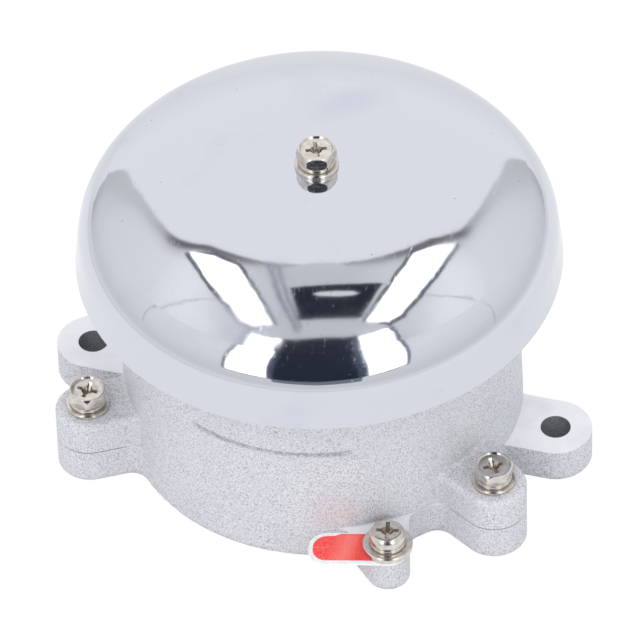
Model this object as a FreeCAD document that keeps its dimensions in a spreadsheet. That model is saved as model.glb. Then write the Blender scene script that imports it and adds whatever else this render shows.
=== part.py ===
import FreeCAD, Part
import math
import os

import Sketcher

# Surface-mounted AC alarm bell with an internal striker. Millimetres.
# Origin: centre of the flat back face, +Z out of the wall, mounting lugs on +X and -X,
# the striker moves along -Y. The gong, its post and the housing are concentric with +Z.

SIZES = {
    # cast base and cast housing
    "wall_radius": 41.5,
    "wall_thickness": 3.0,
    "wall_draft": 1.6,
    "base_height": 8.2,
    "base_floor": 3.0,
    "base_rim_width": 5.2,
    "base_edge_round": 0.8,
    "lip_height": 2.0,
    "lip_width": 2.0,
    "lip_clearance": 0.2,
    "housing_rise": 56.3,
    "ceiling_thickness": 4.0,
    "blind_floor": 0.6,
    "shoulder_round": 12.0,
    "lug_reach": 8.5,
    "lug_radius": 7.6,
    "lug_blend": 1.2,
    "lug_hole_radius": 3.1,
    "tab_reach": 8.5,
    "tab_radius": 6.8,
    "tab_height": 7.7,
    "tab_top_round": 1.3,
    "tab_flare": 4.4,
    "tab_flare_bend": 50.0,
    "tab_blend": 1.0,
    "joint_bevel": 0.25,
    "cast_blend": 3.6,
    "pilaster_rise": 0.4,
    "pilaster_half_angle": 19.0,
    "pad_rise": 0.6,
    "pad_half_angle": 26.0,
    "pad_bottom": 30.5,
    "earth_reach": 7.1,
    "earth_angle": -58.7,
    "earth_radius": 4.5,
    "earth_flare": 2.8,
    # pressed gong and its post
    "gong_air_gap": 6.7,
    "gong_flare": 0.8,
    "gong_depth": 25.2,
    "gong_band": 7.0,
    "gong_shoulder": 11.0,
    "gong_flat_radius": 7.0,
    "gong_sheet": 1.8,
    "post_height": 5.5,
    "post_radius": 7.0,
    "post_spigot_radius": 4.0,
    # M4 and M3 hardware
    "m4_radius": 2.0,
    "m4_clearance": 0.25,
    "thread_gap": 0.03,
    "m3_radius": 1.5,
    "m3_clearance": 0.2,
    "hex_across_flats": 7.0,
    "hex_height": 3.0,
    "dish_radius": 2.75,
    "dish_depth": 0.45,
    "cross_width": 0.95,
    "cross_span": 4.2,
    "cross_depth": 1.5,
    "pan_radius": 3.8,
    "pan_height": 2.5,
    "slot_depth": 1.0,
    "small_pan_radius": 2.8,
    "small_pan_height": 1.9,
    "small_cross_span": 3.0,
    "washer_radius": 4.5,
    "washer_thickness": 0.8,
    "earth_washer_radius": 5.1,
    "earth_washer_thickness": 1.2,
    "lock_radius": 3.7,
    "lock_thickness": 1.0,
    "lock_split": 0.8,
    "lock_split_angle": 25.0,
    "small_lock_radius": 2.7,
    "small_lock_thickness": 0.7,
    "gong_screw_length": 8.0,
    "cover_screw_length": 16.0,
    "earth_screw_length": 8.0,
    "yoke_screw_length": 5.0,
    "block_screw_length": 6.0,
    # earth tag
    "tag_thickness": 0.4,
    "tag_length": 16.2,
    "tag_width": 8.6,
    "tag_corner": 3.9,
    "tag_offset": 0.9,
    "tag_angle": 192.0,
    # electromagnet and striker, on an axis along Y
    "yoke_rise": 11.8,
    "yoke_drop": 10.4,
    "yoke_thickness": 2.0,
    "yoke_width": 20.0,
    "yoke_ear_width": 8.0,
    "yoke_ear_pitch": 13.6,
    "yoke_ear_radius": 3.6,
    "yoke_bend": 1.5,
    "tenon_width": 7.0,
    "tenon_gap": 0.05,
    "bobbin_length": 30.0,
    "bobbin_flange_radius": 9.5,
    "bobbin_flange": 1.2,
    "bobbin_wall": 0.8,
    "coil_clearance": 0.1,
    "coil_inset": 0.7,
    "running_gap": 0.05,
    "plunger_radius": 4.0,
    "plunger_length": 30.0,
    "plunger_overhang": 3.0,
    "plunger_chamfer": 0.6,
    "plunger_socket": 8.0,
    "rod_radius": 1.6,
    "rod_passage_gap": 0.8,
    "tip_radius": 2.1,
    "tip_clearance": 0.6,
    "tip_socket": 1.7,
    "tip_round": 1.2,
    "strike_travel": 2.3,
    "strike_gap": 0.1,
    "bush_radius": 4.0,
    "bush_flange_radius": 5.4,
    "bush_flange": 1.5,
    "bush_nose": 0.6,
    "bush_seat_margin": 0.3,
    "bush_seat_depth": 0.4,
    "collar_radius": 3.6,
    "collar_thickness": 1.0,
    "spring_radius": 2.7,
    "spring_wire": 0.35,
    "spring_length": 13.0,
    "spring_turns": 7.0,
    "seat_gap": 0.3,
    "buffer_radius": 3.4,
    "buffer_head": 3.6,
    "buffer_stem_radius": 1.8,
    "buffer_bulb_radius": 2.3,
    "buffer_bulb": 1.2,
    "stop_rib_thickness": 3.0,
    "stop_rib_width": 12.0,
    "stop_rib_drop": 6.0,
    # wiring
    "cable_height": 28.0,
    "cable_bore_radius": 3.5,
    "cable_boss_rise": 0.7,
    "cable_boss_margin": 0.8,
    "grommet_neck": 1.3,
    "grommet_flange": 2.0,
    "grommet_flange_thickness": 1.6,
    "grommet_wall": 3.6,
    "block_place": 17.0,
    "block_length": 22.0,
    "block_width": 13.0,
    "block_height": 11.0,
    "block_pole_pitch": 11.0,
    "block_lead_in_radius": 1.9,
    "block_lead_in_height": 4.2,
    "block_waist": 3.0,
    "block_valley_half": 3.1,
    "block_valley_floor": 3.0,
    "block_edge_round": 0.8,
    "insert_wall": 0.7,
    "insert_length": 9.0,
    "clamp_pitch": 5.4,
    "clamp_screw_radius": 1.3,
    "clamp_head_radius": 1.55,
    "clamp_head_height": 1.8,
    "block_boss_height": 1.5,
    "block_boss_radius": 3.2,
    "lead_radius": 0.7,
}


class Size:
    """A length that carries both its number and the sheet expression that gives it."""

    def __init__(self, value, text):
        self.value = float(value)
        self.text = text

    @staticmethod
    def of(other):
        return other if isinstance(other, Size) else Size(other, repr(float(other)))

    def _join(self, other, sign, number):
        return Size(number, f"({self.text} {sign} {Size.of(other).text})")

    def __add__(self, other):
        return self._join(other, "+", self.value + Size.of(other).value)

    def __radd__(self, other):
        return Size.of(other) + self

    def __sub__(self, other):
        return self._join(other, "-", self.value - Size.of(other).value)

    def __rsub__(self, other):
        return Size.of(other) - self

    def __mul__(self, other):
        return self._join(other, "*", self.value * Size.of(other).value)

    def __rmul__(self, other):
        return Size.of(other) * self

    def __truediv__(self, other):
        return self._join(other, "/", self.value / Size.of(other).value)

    def __neg__(self):
        return Size(-self.value, f"(0 - {self.text})")


def root(size):
    return Size(math.sqrt(size.value), f"sqrt({size.text})")


def sine(angle):
    return Size(math.sin(math.radians(angle.value)), f"sin({angle.text} * 1 deg)")


def cosine(angle):
    return Size(math.cos(math.radians(angle.value)), f"cos({angle.text} * 1 deg)")


def tangent(angle):
    return Size(math.tan(math.radians(angle.value)), f"tan({angle.text} * 1 deg)")


doc = FreeCAD.newDocument("bell")
sheet = doc.addObject("Spreadsheet::Sheet", "sizes")
for row, (alias, number) in enumerate(SIZES.items(), start=1):
    sheet.set(f"A{row}", alias)
    sheet.set(f"B{row}", str(number))
    sheet.setAlias(f"B{row}", alias)
doc.recompute()


class Named:
    """Every driving dimension by its name, as a Size."""


d = Named()
for alias in SIZES:
    setattr(d, alias, Size(sheet.get(alias), f"sizes.{alias}"))

# ---- places worked out from the driving dimensions ----

PARTING = d.base_height
HOUSING_TOP = PARTING + d.housing_rise
CEILING = HOUSING_TOP - d.ceiling_thickness
TAB_TOP = PARTING + d.tab_height
LUG_PITCH = d.wall_radius + d.lug_reach
TAB_PITCH = d.wall_radius + d.tab_reach
EARTH_PITCH = d.wall_radius + d.earth_reach
INNER_RADIUS = d.wall_radius - d.wall_thickness
DRAFT = tangent(d.wall_draft)
TOP_RADIUS = d.wall_radius - d.housing_rise * DRAFT
INNER_TOP_RADIUS = INNER_RADIUS - (CEILING - PARTING) * DRAFT
GONG_INNER_TOP = HOUSING_TOP + d.post_height
GONG_TOP = GONG_INNER_TOP + d.gong_sheet
GONG_RIM = GONG_TOP - d.gong_depth
AXIS_HEIGHT = CEILING - d.yoke_rise
GONG_RADIUS = d.wall_radius + d.gong_air_gap + d.gong_sheet
STRIKE_WALL = GONG_RADIUS - d.gong_sheet - d.gong_flare * (AXIS_HEIGHT - GONG_RIM) / d.gong_band
TIP_FRONT = STRIKE_WALL - d.strike_travel - d.strike_gap
WALL_AT_AXIS = d.wall_radius - (AXIS_HEIGHT - PARTING) * DRAFT
BUSH_SEAT = WALL_AT_AXIS - d.wall_thickness + d.bush_seat_depth
COIL_HALF = d.bobbin_length / 2
YOKE_HALF = COIL_HALF + d.yoke_thickness
PLUNGER_REAR = -(YOKE_HALF + d.plunger_overhang)
PLUNGER_FRONT = PLUNGER_REAR + d.plunger_length
BUFFER_FACE = PLUNGER_REAR - d.seat_gap
STOP_RIB_FACE = BUFFER_FACE - d.buffer_head
SPRING_FRONT = BUSH_SEAT - d.bush_flange
SPRING_REAR = SPRING_FRONT - d.spring_length
M4_HOLE = d.m4_radius + d.m4_clearance
M4_THREAD = d.m4_radius + d.thread_gap
M3_HOLE = d.m3_radius + d.m3_clearance
M3_THREAD = d.m3_radius + d.thread_gap
BLOCK_FOOT = d.base_floor + d.block_boss_height
BLOCK_TOP = BLOCK_FOOT + d.block_height
BLOCK_FIXING = d.block_width / 2 - d.block_waist
BLOCK_POLE = d.block_pole_pitch / 2
LEAD_IN_HEIGHT = BLOCK_FOOT + d.block_lead_in_height
INSERT_RADIUS = d.block_lead_in_radius + d.insert_wall
COIL_RADIUS = d.bobbin_flange_radius - d.coil_inset
BUSH_NOSE = WALL_AT_AXIS + d.pad_rise + d.bush_nose
TIP_REAR = BUSH_NOSE + d.tip_clearance
CABLE_SEAT = d.wall_radius + d.cable_boss_rise
GROMMET_RADIUS = d.cable_bore_radius + d.grommet_neck + d.grommet_flange


# ---- sketch and feature helpers ----

def bind(thing, prop, size):
    thing.setExpression(prop, Size.of(size).text)


def new_body(name):
    body = doc.addObject("PartDesign::Body", name)
    body.Label = name
    return body


def origin_part(body, role):
    return next(item for item in body.Origin.OriginFeatures if item.Role == role)


def sketch_on(body, role, offset=None, turn=None, shift=None):
    """A sketch on one of the body's own origin planes: moved along the plane's normal by offset,
    turned in the plane, and shifted along the plane's own second axis."""
    sketch = body.newObject("Sketcher::SketchObject", "outline")
    sketch.AttachmentSupport = (origin_part(body, role), [""])
    sketch.MapMode = "FlatFace"
    if offset is not None:
        bind(sketch, "AttachmentOffset.Base.z", offset)
    if turn is not None:
        bind(sketch, "AttachmentOffset.Rotation.Angle", turn)
    if shift is not None:
        bind(sketch, "AttachmentOffset.Base.y", shift)
    return sketch


def vector(x, y):
    return FreeCAD.Vector(Size.of(x).value, Size.of(y).value, 0)


def datum(sketch, kind, size, *places):
    """Add a constraint whose value follows a Size."""
    index = sketch.addConstraint(Sketcher.Constraint(kind, *places, Size.of(size).value))
    bind(sketch, f"Constraints[{index}]", size)


def hold(sketch, geometry, end, x, y):
    datum(sketch, "DistanceX", x, -1, 1, geometry, end)
    datum(sketch, "DistanceY", y, -1, 1, geometry, end)


def circle(sketch, x, y, radius):
    index = sketch.addGeometry(Part.Circle(vector(x, y), FreeCAD.Vector(0, 0, 1), radius.value))
    hold(sketch, index, 3, x, y)
    datum(sketch, "Radius", radius, index)


def contour(sketch, corners, arcs=None):
    """A closed outline through corners held at their expressions. arcs gives, for the stretch that
    starts at a corner, its centre x, centre y and radius; every other stretch is straight."""
    arcs = arcs or {}
    count = len(corners)
    spans = []
    for number, here in enumerate(corners):
        start, end = vector(*here), vector(*corners[(number + 1) % count])
        if number not in arcs:
            spans.append((sketch.addGeometry(Part.LineSegment(start, end)), 1, 2))
            continue
        centre_x, centre_y, radius = arcs[number]
        centre = vector(centre_x, centre_y)
        first, last = start - centre, end - centre
        swapped = first.x * last.y - first.y * last.x < 0
        if swapped:
            first, last = last, first
        ring = Part.Circle(centre, FreeCAD.Vector(0, 0, 1), radius.value)
        low, high = math.atan2(first.y, first.x), math.atan2(last.y, last.x)
        index = sketch.addGeometry(Part.ArcOfCircle(ring, low, high))
        spans.append((index, 2, 1) if swapped else (index, 1, 2))
        datum(sketch, "Radius", radius, index)
    for number, (index, start, _) in enumerate(spans):
        before, _, end = spans[number - 1]
        sketch.addConstraint(Sketcher.Constraint("Coincident", before, end, index, start))
        hold(sketch, index, start, *corners[number])


def rectangle(sketch, low_x, low_y, high_x, high_y):
    contour(sketch, [(low_x, low_y), (high_x, low_y), (high_x, high_y), (low_x, high_y)])


def ear(sketch, root_y, root_half, end_y, radius):
    """An ear along the sketch's Y: a round end with tangent flanks down to a foot of half width
    root_half, which is at least the end's radius."""
    run = end_y - root_y
    far = root(run * run + root_half * root_half)
    flank = root(run * run + root_half * root_half - radius * radius)
    # the flank's touching point, turned from the line between the foot and the end's centre
    along = radius / (far * far)
    touch_x = along * (radius * root_half + flank * run)
    touch_y = end_y + along * (flank * root_half - radius * run)
    corners = [(touch_x, touch_y), (0, end_y + radius), (-touch_x, touch_y),
               (-root_half, root_y), (root_half, root_y)]
    contour(sketch, corners, {0: (0, end_y, radius), 1: (0, end_y, radius)})


def flared_ear(sketch, wall, radius, end_y, flare, bend, sink):
    """An ear of even width along the sketch's Y, whose flanks curve apart through `bend` where they
    run into the wall, and end `sink` inside it."""
    foot_x = radius + flare * (1 - cosine(bend))
    foot_y = root((wall - sink) * (wall - sink) - foot_x * foot_x)
    start_y = foot_y + flare * sine(bend)
    corners = [(radius, end_y), (0, end_y + radius), (-radius, end_y), (-radius, start_y),
               (-foot_x, foot_y), (-foot_x, foot_y - sink), (foot_x, foot_y - sink),
               (foot_x, foot_y), (radius, start_y)]
    contour(sketch, corners, {0: (0, end_y, radius), 1: (0, end_y, radius),
                              3: (-radius - flare, start_y, flare), 7: (radius + flare, start_y, flare)})


def lens(sketch, wall, rise, half_angle, cover, along):
    """A shallow bulge on a round wall: an arc that meets the wall at plus and minus half_angle,
    stands `rise` proud at the middle and closes `cover` inside. along turns it to its place."""
    half_width = wall * sine(half_angle)
    chord = wall * cosine(half_angle)
    sag = wall + rise - chord
    radius = (half_width * half_width + sag * sag) / (2 * sag)
    centre = along(wall + rise - radius, 0)
    corners = [along(chord, -half_width), along(wall + rise, 0), along(chord, half_width),
               along(chord - cover, half_width), along(chord - cover, -half_width)]
    contour(sketch, corners, {0: (*centre, radius), 1: (*centre, radius)})


def volume(body):
    doc.recompute()
    return body.Shape.Volume


def pad(body, sketch, length, back=False, taper=None):
    feature = body.newObject("PartDesign::Pad", "pad")
    feature.Profile = sketch
    feature.Reversed = back
    bind(feature, "Length", length)
    if taper is not None:
        bind(feature, "TaperAngle", taper)
    return feature


def pocket(body, sketch, length, back=False):
    """Cut along the sketch's normal turned round, or along it with back=True."""
    before = volume(body)
    feature = body.newObject("PartDesign::Pocket", "pocket")
    feature.Profile = sketch
    feature.Reversed = back
    bind(feature, "Length", length)
    assert volume(body) < before - 1e-6, f"{body.Name}: a pocket cuts nothing"
    return feature


def turned(body, sketch, axis="V_Axis", cut=False):
    """A solid of revolution, or a turned cut, about an axis of its sketch."""
    before = volume(body) if cut else 0
    feature = body.newObject("PartDesign::Groove" if cut else "PartDesign::Revolution", "turned")
    feature.Profile = sketch
    feature.ReferenceAxis = (sketch, [axis])
    feature.Angle = 360
    if cut:
        assert volume(body) < before - 1e-6, f"{body.Name}: a groove cuts nothing"
    return feature


def around(body, features, count, whole=False):
    """Repeat features, or the whole shape so far, round the body's Z axis."""
    pattern = body.newObject("PartDesign::PolarPattern", "around")
    if whole:
        pattern.TransformMode = "Whole shape"
    else:
        pattern.Originals = features
    pattern.Axis = (origin_part(body, "Z_Axis"), [""])
    pattern.Angle = 360
    pattern.Occurrences = count
    body.Tip = pattern
    doc.recompute()
    return pattern


def edges_where(feature, test):
    doc.recompute()
    return [f"Edge{number}" for number, edge in enumerate(feature.Shape.Edges, start=1) if test(edge)]


def round_edges(body, feature, test, radius):
    names = edges_where(feature, test)
    assert names, f"{body.Name}: no edge to round"
    fillet = body.newObject("PartDesign::Fillet", "round")
    fillet.Base = (feature, names)
    bind(fillet, "Radius", radius)
    body.Tip = fillet
    doc.recompute()
    return fillet


def bevel_edges(body, feature, test, size):
    names = edges_where(feature, test)
    assert names, f"{body.Name}: no edge to bevel"
    chamfer = body.newObject("PartDesign::Chamfer", "bevel")
    chamfer.Base = (feature, names)
    bind(chamfer, "Size", size)
    body.Tip = chamfer
    doc.recompute()
    return chamfer


def samples(edge):
    if edge.Degenerated:
        return [vertex.Point for vertex in edge.Vertexes]
    return edge.discretize(5)


def level(edge, height, slack=0.01):
    return all(abs(point.z - height.value) < slack for point in samples(edge))


def reach(point):
    return math.hypot(point.x, point.y)


def on_wall(edge, slack=0.05):
    """The edge runs on the drafted wall that base and housing share."""
    def off(point):
        rise = max(0.0, point.z - PARTING.value)
        return abs(reach(point) - (d.wall_radius.value - rise * DRAFT.value))
    return all(off(point) < slack for point in samples(edge))


def upright(edge):
    ends = samples(edge)
    return abs(ends[0].z - ends[-1].z) > 1 and abs(ends[0].x - ends[-1].x) < 0.5


def put(body, x=0, y=0, z=0, turn=None):
    bind(body, "Placement.Base.x", x)
    bind(body, "Placement.Base.y", y)
    bind(body, "Placement.Base.z", z)
    if turn is not None:
        bind(body, "Placement.Rotation.Angle", turn)


# ---- castings ----

def screw_tabs(body, bottom, height):
    """Three tabs that carry the cover screws, one on +Y and one each side of -Y."""
    outline = sketch_on(body, "XY_Plane", bottom)
    flared_ear(outline, d.wall_radius, d.tab_radius, TAB_PITCH, d.tab_flare, d.tab_flare_bend,
               d.wall_thickness / 3)
    return around(body, [pad(body, outline, height)], 3)


def three_holes(body, top, depth, radius):
    holes = sketch_on(body, "XY_Plane", top)
    circle(holes, 0, TAB_PITCH, radius)
    return around(body, [pocket(body, holes, depth)], 3)


def make_base_plate():
    body = new_body("base_plate")
    disc = sketch_on(body, "XY_Plane")
    circle(disc, 0, 0, d.wall_radius)
    pad(body, disc, d.base_height)
    screw_tabs(body, 0, d.base_height)
    lug = sketch_on(body, "XY_Plane", turn=-90)
    ear(lug, INNER_RADIUS, d.lug_radius, LUG_PITCH, d.lug_radius)
    around(body, [pad(body, lug, d.base_height)], 2)
    earth = sketch_on(body, "XY_Plane", turn=d.earth_angle - 90)
    ear(earth, INNER_RADIUS, d.earth_radius + d.earth_flare, EARTH_PITCH, d.earth_radius)
    boss = pad(body, earth, d.base_height)

    def beside_lug(edge):
        return abs(edge.CenterOfMass.y) < d.lug_radius.value + 1
    for near_lug, radius in ((True, d.lug_blend), (False, d.cast_blend)):
        boss = round_edges(body, boss, lambda edge: upright(edge) and on_wall(edge)
                           and beside_lug(edge) == near_lug, radius)
    round_edges(body, boss, lambda edge: level(edge, Size.of(0)), d.base_edge_round)
    recess = sketch_on(body, "XY_Plane", d.base_height)
    circle(recess, 0, 0, d.wall_radius - d.base_rim_width)
    pocket(body, recess, d.base_height - d.base_floor)
    lip = sketch_on(body, "XY_Plane", d.base_height)
    circle(lip, 0, 0, INNER_RADIUS - d.lip_clearance)
    circle(lip, 0, 0, INNER_RADIUS - d.lip_clearance - d.lip_width)
    pad(body, lip, d.lip_height)
    feet = sketch_on(body, "XY_Plane", d.base_floor)
    for side in (-1, 1):
        circle(feet, 0, d.block_place + side * BLOCK_FIXING, d.block_boss_radius)
    pad(body, feet, d.block_boss_height)
    tapped_feet = sketch_on(body, "XY_Plane", BLOCK_FOOT)
    for side in (-1, 1):
        circle(tapped_feet, 0, d.block_place + side * BLOCK_FIXING, M3_THREAD)
    pocket(body, tapped_feet, BLOCK_FOOT - d.blind_floor)
    lug_holes = sketch_on(body, "XY_Plane", d.base_height)
    circle(lug_holes, LUG_PITCH, 0, d.lug_hole_radius)
    circle(lug_holes, -LUG_PITCH, 0, d.lug_hole_radius)
    pocket(body, lug_holes, d.base_height)
    three_holes(body, d.base_height, d.base_height, M4_THREAD)
    earth_hole = sketch_on(body, "XY_Plane", d.base_height, turn=d.earth_angle - 90)
    circle(earth_hole, 0, EARTH_PITCH, M4_THREAD)
    pocket(body, earth_hole, d.base_height - d.blind_floor)
    return body


def make_housing():
    body = new_body("housing")
    section = sketch_on(body, "XZ_Plane")
    contour(section, [(0, PARTING), (d.wall_radius, PARTING), (TOP_RADIUS, HOUSING_TOP),
                      (0, HOUSING_TOP)])
    cup = turned(body, section)
    round_edges(body, cup, lambda edge: level(edge, HOUSING_TOP), d.shoulder_round)
    tabs = screw_tabs(body, PARTING, d.tab_height)
    eased = round_edges(body, tabs, lambda edge: level(edge, TAB_TOP) and not on_wall(edge)
                        and reach(edge.CenterOfMass) > INNER_RADIUS.value, d.tab_top_round)

    def joins_wall(edge):
        low = min(point.z for point in samples(edge))
        high = max(point.z for point in samples(edge))
        return on_wall(edge) and high < TAB_TOP.value + 0.01 and high - PARTING.value > 0.01 and low >= 0
    blended = round_edges(body, eased, joins_wall, d.tab_blend)
    bevel_edges(body, blended, lambda edge: level(edge, PARTING), d.joint_bevel)
    dome_start = HOUSING_TOP - d.shoulder_round
    for side in (-1, 1):
        pilaster = sketch_on(body, "XY_Plane", PARTING)
        lens(pilaster, d.wall_radius, d.pilaster_rise, d.pilaster_half_angle, d.wall_thickness,
             lambda out, across, side=side: (side * out, side * across))
        pad(body, pilaster, dome_start - PARTING, taper=-d.wall_draft)
    front = sketch_on(body, "XY_Plane", d.pad_bottom)
    lens(front, d.wall_radius - (d.pad_bottom - PARTING) * DRAFT, d.pad_rise, d.pad_half_angle,
         d.wall_thickness, lambda out, across: (across, -out))
    pad(body, front, dome_start - d.pad_bottom, taper=-d.wall_draft)
    entry = sketch_on(body, "XZ_Plane", -CABLE_SEAT, shift=d.cable_height)
    circle(entry, 0, 0, GROMMET_RADIUS + d.cable_boss_margin)
    pad(body, entry, CABLE_SEAT - INNER_RADIUS + d.wall_thickness)
    bore = sketch_on(body, "XZ_Plane")
    contour(bore, [(0, PARTING), (INNER_RADIUS, PARTING), (INNER_TOP_RADIUS, CEILING), (0, CEILING)])
    hollow = turned(body, bore, cut=True)
    round_edges(body, hollow, lambda edge: level(edge, CEILING), d.shoulder_round - d.wall_thickness)
    rib = sketch_on(body, "XY_Plane", CEILING + d.ceiling_thickness / 2)
    rectangle(rib, -d.stop_rib_width / 2, -STOP_RIB_FACE, d.stop_rib_width / 2,
              d.stop_rib_thickness - STOP_RIB_FACE)
    pad(body, rib, d.ceiling_thickness / 2 + d.yoke_rise + d.stop_rib_drop, back=True)
    stem_hole = sketch_on(body, "XZ_Plane", STOP_RIB_FACE, shift=AXIS_HEIGHT)
    circle(stem_hole, 0, 0, d.buffer_stem_radius + d.running_gap)
    pocket(body, stem_hole, d.stop_rib_thickness)
    bush_hole = sketch_on(body, "XZ_Plane", BUSH_SEAT, shift=AXIS_HEIGHT)
    circle(bush_hole, 0, 0, d.bush_radius)
    pocket(body, bush_hole, d.wall_thickness + d.pad_rise + d.bush_nose, back=True)
    bush_seat = sketch_on(body, "XZ_Plane", BUSH_SEAT, shift=AXIS_HEIGHT)
    circle(bush_seat, 0, 0, d.bush_flange_radius + d.bush_seat_margin)
    pocket(body, bush_seat, d.bush_flange)
    cable_seat = sketch_on(body, "XZ_Plane", d.grommet_wall - CABLE_SEAT, shift=d.cable_height)
    circle(cable_seat, 0, 0, GROMMET_RADIUS + d.bush_seat_margin)
    pocket(body, cable_seat, d.wall_thickness, back=True)
    cable_hole = sketch_on(body, "XZ_Plane", d.grommet_wall - CABLE_SEAT, shift=d.cable_height)
    circle(cable_hole, 0, 0, d.cable_bore_radius + d.grommet_neck)
    pocket(body, cable_hole, d.grommet_wall)
    post_hole = sketch_on(body, "XY_Plane", HOUSING_TOP)
    circle(post_hole, 0, 0, d.post_spigot_radius)
    pocket(body, post_hole, d.ceiling_thickness)
    yoke_holes = sketch_on(body, "XY_Plane", CEILING)
    circle(yoke_holes, d.yoke_ear_pitch, 0, M3_THREAD)
    circle(yoke_holes, -d.yoke_ear_pitch, 0, M3_THREAD)
    pocket(body, yoke_holes, d.ceiling_thickness - d.blind_floor, back=True)
    three_holes(body, TAB_TOP, d.tab_height, M4_HOLE)
    return body


# ---- gong ----

def make_gong():
    """A pressed bowl: flat crown, wide arc, tight shoulder arc and a band that flares to the rim."""
    body = new_body("gong")
    slant = root(d.gong_band * d.gong_band + d.gong_flare * d.gong_flare)
    out, up = d.gong_band / slant, d.gong_flare / slant
    knee_x = GONG_RADIUS - d.gong_flare - d.gong_shoulder * out
    knee_y = GONG_RIM + d.gong_band - d.gong_shoulder * up
    run, drop = knee_x - d.gong_flat_radius, knee_y - GONG_TOP
    crown = (run * run + drop * drop - d.gong_shoulder * d.gong_shoulder) / (
        -2 * (drop + d.gong_shoulder))
    crown_y = GONG_TOP - crown
    reach_x = run / (crown - d.gong_shoulder)
    reach_y = (knee_y - crown_y) / (crown - d.gong_shoulder)
    inner_crown, inner_shoulder = crown - d.gong_sheet, d.gong_shoulder - d.gong_sheet
    centre, knee = (d.gong_flat_radius, crown_y), (knee_x, knee_y)
    corners = [
        (M4_HOLE, GONG_TOP),
        (d.gong_flat_radius, GONG_TOP),
        (d.gong_flat_radius + crown * reach_x, crown_y + crown * reach_y),
        (knee_x + d.gong_shoulder * out, knee_y + d.gong_shoulder * up),
        (GONG_RADIUS, GONG_RIM),
        (GONG_RADIUS - d.gong_sheet / out, GONG_RIM),
        (knee_x + inner_shoulder * out, knee_y + inner_shoulder * up),
        (d.gong_flat_radius + inner_crown * reach_x, crown_y + inner_crown * reach_y),
        (d.gong_flat_radius, GONG_INNER_TOP),
        (M4_HOLE, GONG_INNER_TOP),
    ]
    section = sketch_on(body, "XZ_Plane")
    contour(section, corners, {1: (*centre, crown), 2: (*knee, d.gong_shoulder),
                               6: (*knee, inner_shoulder), 7: (*centre, inner_crown)})
    turned(body, section)
    return body


def make_gong_post():
    """Steel post: a flange that the gong sits on and a spigot pressed through the housing's top."""
    body = new_body("gong_post")
    section = sketch_on(body, "XZ_Plane")
    contour(section, [(M4_THREAD, GONG_INNER_TOP), (M4_THREAD, CEILING), (d.post_spigot_radius, CEILING),
                      (d.post_spigot_radius, HOUSING_TOP), (d.post_radius, HOUSING_TOP),
                      (d.post_radius, GONG_INNER_TOP)])
    turned(body, section)
    return body


# ---- fasteners, each made standing on its own bearing face ----

def cross_recess(body, top, span, depth, shift, turn=None):
    """Four tapering wings round a pointed centre."""
    half, wing = span / 2, d.cross_width / 2
    cross = sketch_on(body, "XY_Plane", top, turn=turn, shift=shift)
    contour(cross, [(half, -wing), (half, wing), (wing, wing), (wing, half), (-wing, half),
                    (-wing, wing), (-half, wing), (-half, -wing), (-wing, -wing), (-wing, -half),
                    (wing, -half), (wing, -wing)])
    pocket(body, cross, depth)
    point = sketch_on(body, "XZ_Plane", -shift)
    contour(point, [(0, top), (2 * wing, top), (wing, top - depth), (0, top - depth - wing)])
    turned(body, point, cut=True)


def shank(body, radius, length, shift):
    rod = sketch_on(body, "XY_Plane", shift=shift)
    circle(rod, 0, 0, radius)
    screw = pad(body, rod, length, back=True)
    return bevel_edges(body, screw, lambda edge: level(edge, -length), radius / 5)


def hex_screw(name, length, shift=Size.of(0), turn=None, cross_turn=None):
    """Hexagon head, bevelled above and below, with a dished top and a cross recess."""
    body = new_body(name)
    flat = d.hex_across_flats / 2
    corner = d.hex_across_flats / root(Size.of(3))
    head = sketch_on(body, "XY_Plane", turn=turn, shift=shift)
    contour(head, [(corner, 0), (corner / 2, flat), (-corner / 2, flat), (-corner, 0),
                   (-corner / 2, -flat), (corner / 2, -flat)])
    pad(body, head, d.hex_height)
    crown = sketch_on(body, "XZ_Plane", -shift)
    contour(crown, [(flat - d.dish_depth / 2, d.hex_height), (2 * flat, d.hex_height),
                    (2 * flat, d.hex_height - flat / 2 - d.dish_depth / 2)])
    turned(body, crown, cut=True)
    foot = sketch_on(body, "XZ_Plane", -shift)
    contour(foot, [(flat - d.dish_depth / 4, 0), (2 * flat, flat / 2 + d.dish_depth / 8), (2 * flat, 0)])
    turned(body, foot, cut=True)
    dish = sketch_on(body, "XZ_Plane", -shift)
    contour(dish, [(0, d.hex_height), (d.dish_radius, d.hex_height),
                   (d.dish_radius - d.dish_depth, d.hex_height - d.dish_depth),
                   (0, d.hex_height - d.dish_depth)])
    turned(body, dish, cut=True)
    cross_recess(body, d.hex_height - d.dish_depth, d.cross_span, d.cross_depth, shift, cross_turn)
    shank(body, d.m4_radius, length, shift)
    return body


def pan_screw(name, head_radius, head_height, radius, length, span, shift=Size.of(0)):
    body = new_body(name)
    head = sketch_on(body, "XY_Plane", shift=shift)
    circle(head, 0, 0, head_radius)
    crown = round_edges(body, pad(body, head, head_height), lambda edge: level(edge, head_height),
                        0.6 * head_height)
    bevel_edges(body, crown, lambda edge: level(edge, Size.of(0)), 0.12 * head_height)
    cross_recess(body, head_height, span, 0.55 * head_height, shift)
    shank(body, radius, length, shift)
    return body


def washer(name, outer, inner, thickness, shift=Size.of(0)):
    body = new_body(name)
    ring = sketch_on(body, "XY_Plane", shift=shift)
    circle(ring, 0, 0, outer)
    circle(ring, 0, 0, inner)
    bevel_edges(body, pad(body, ring, thickness), lambda edge: level(edge, thickness), thickness / 6)
    return body


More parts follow.
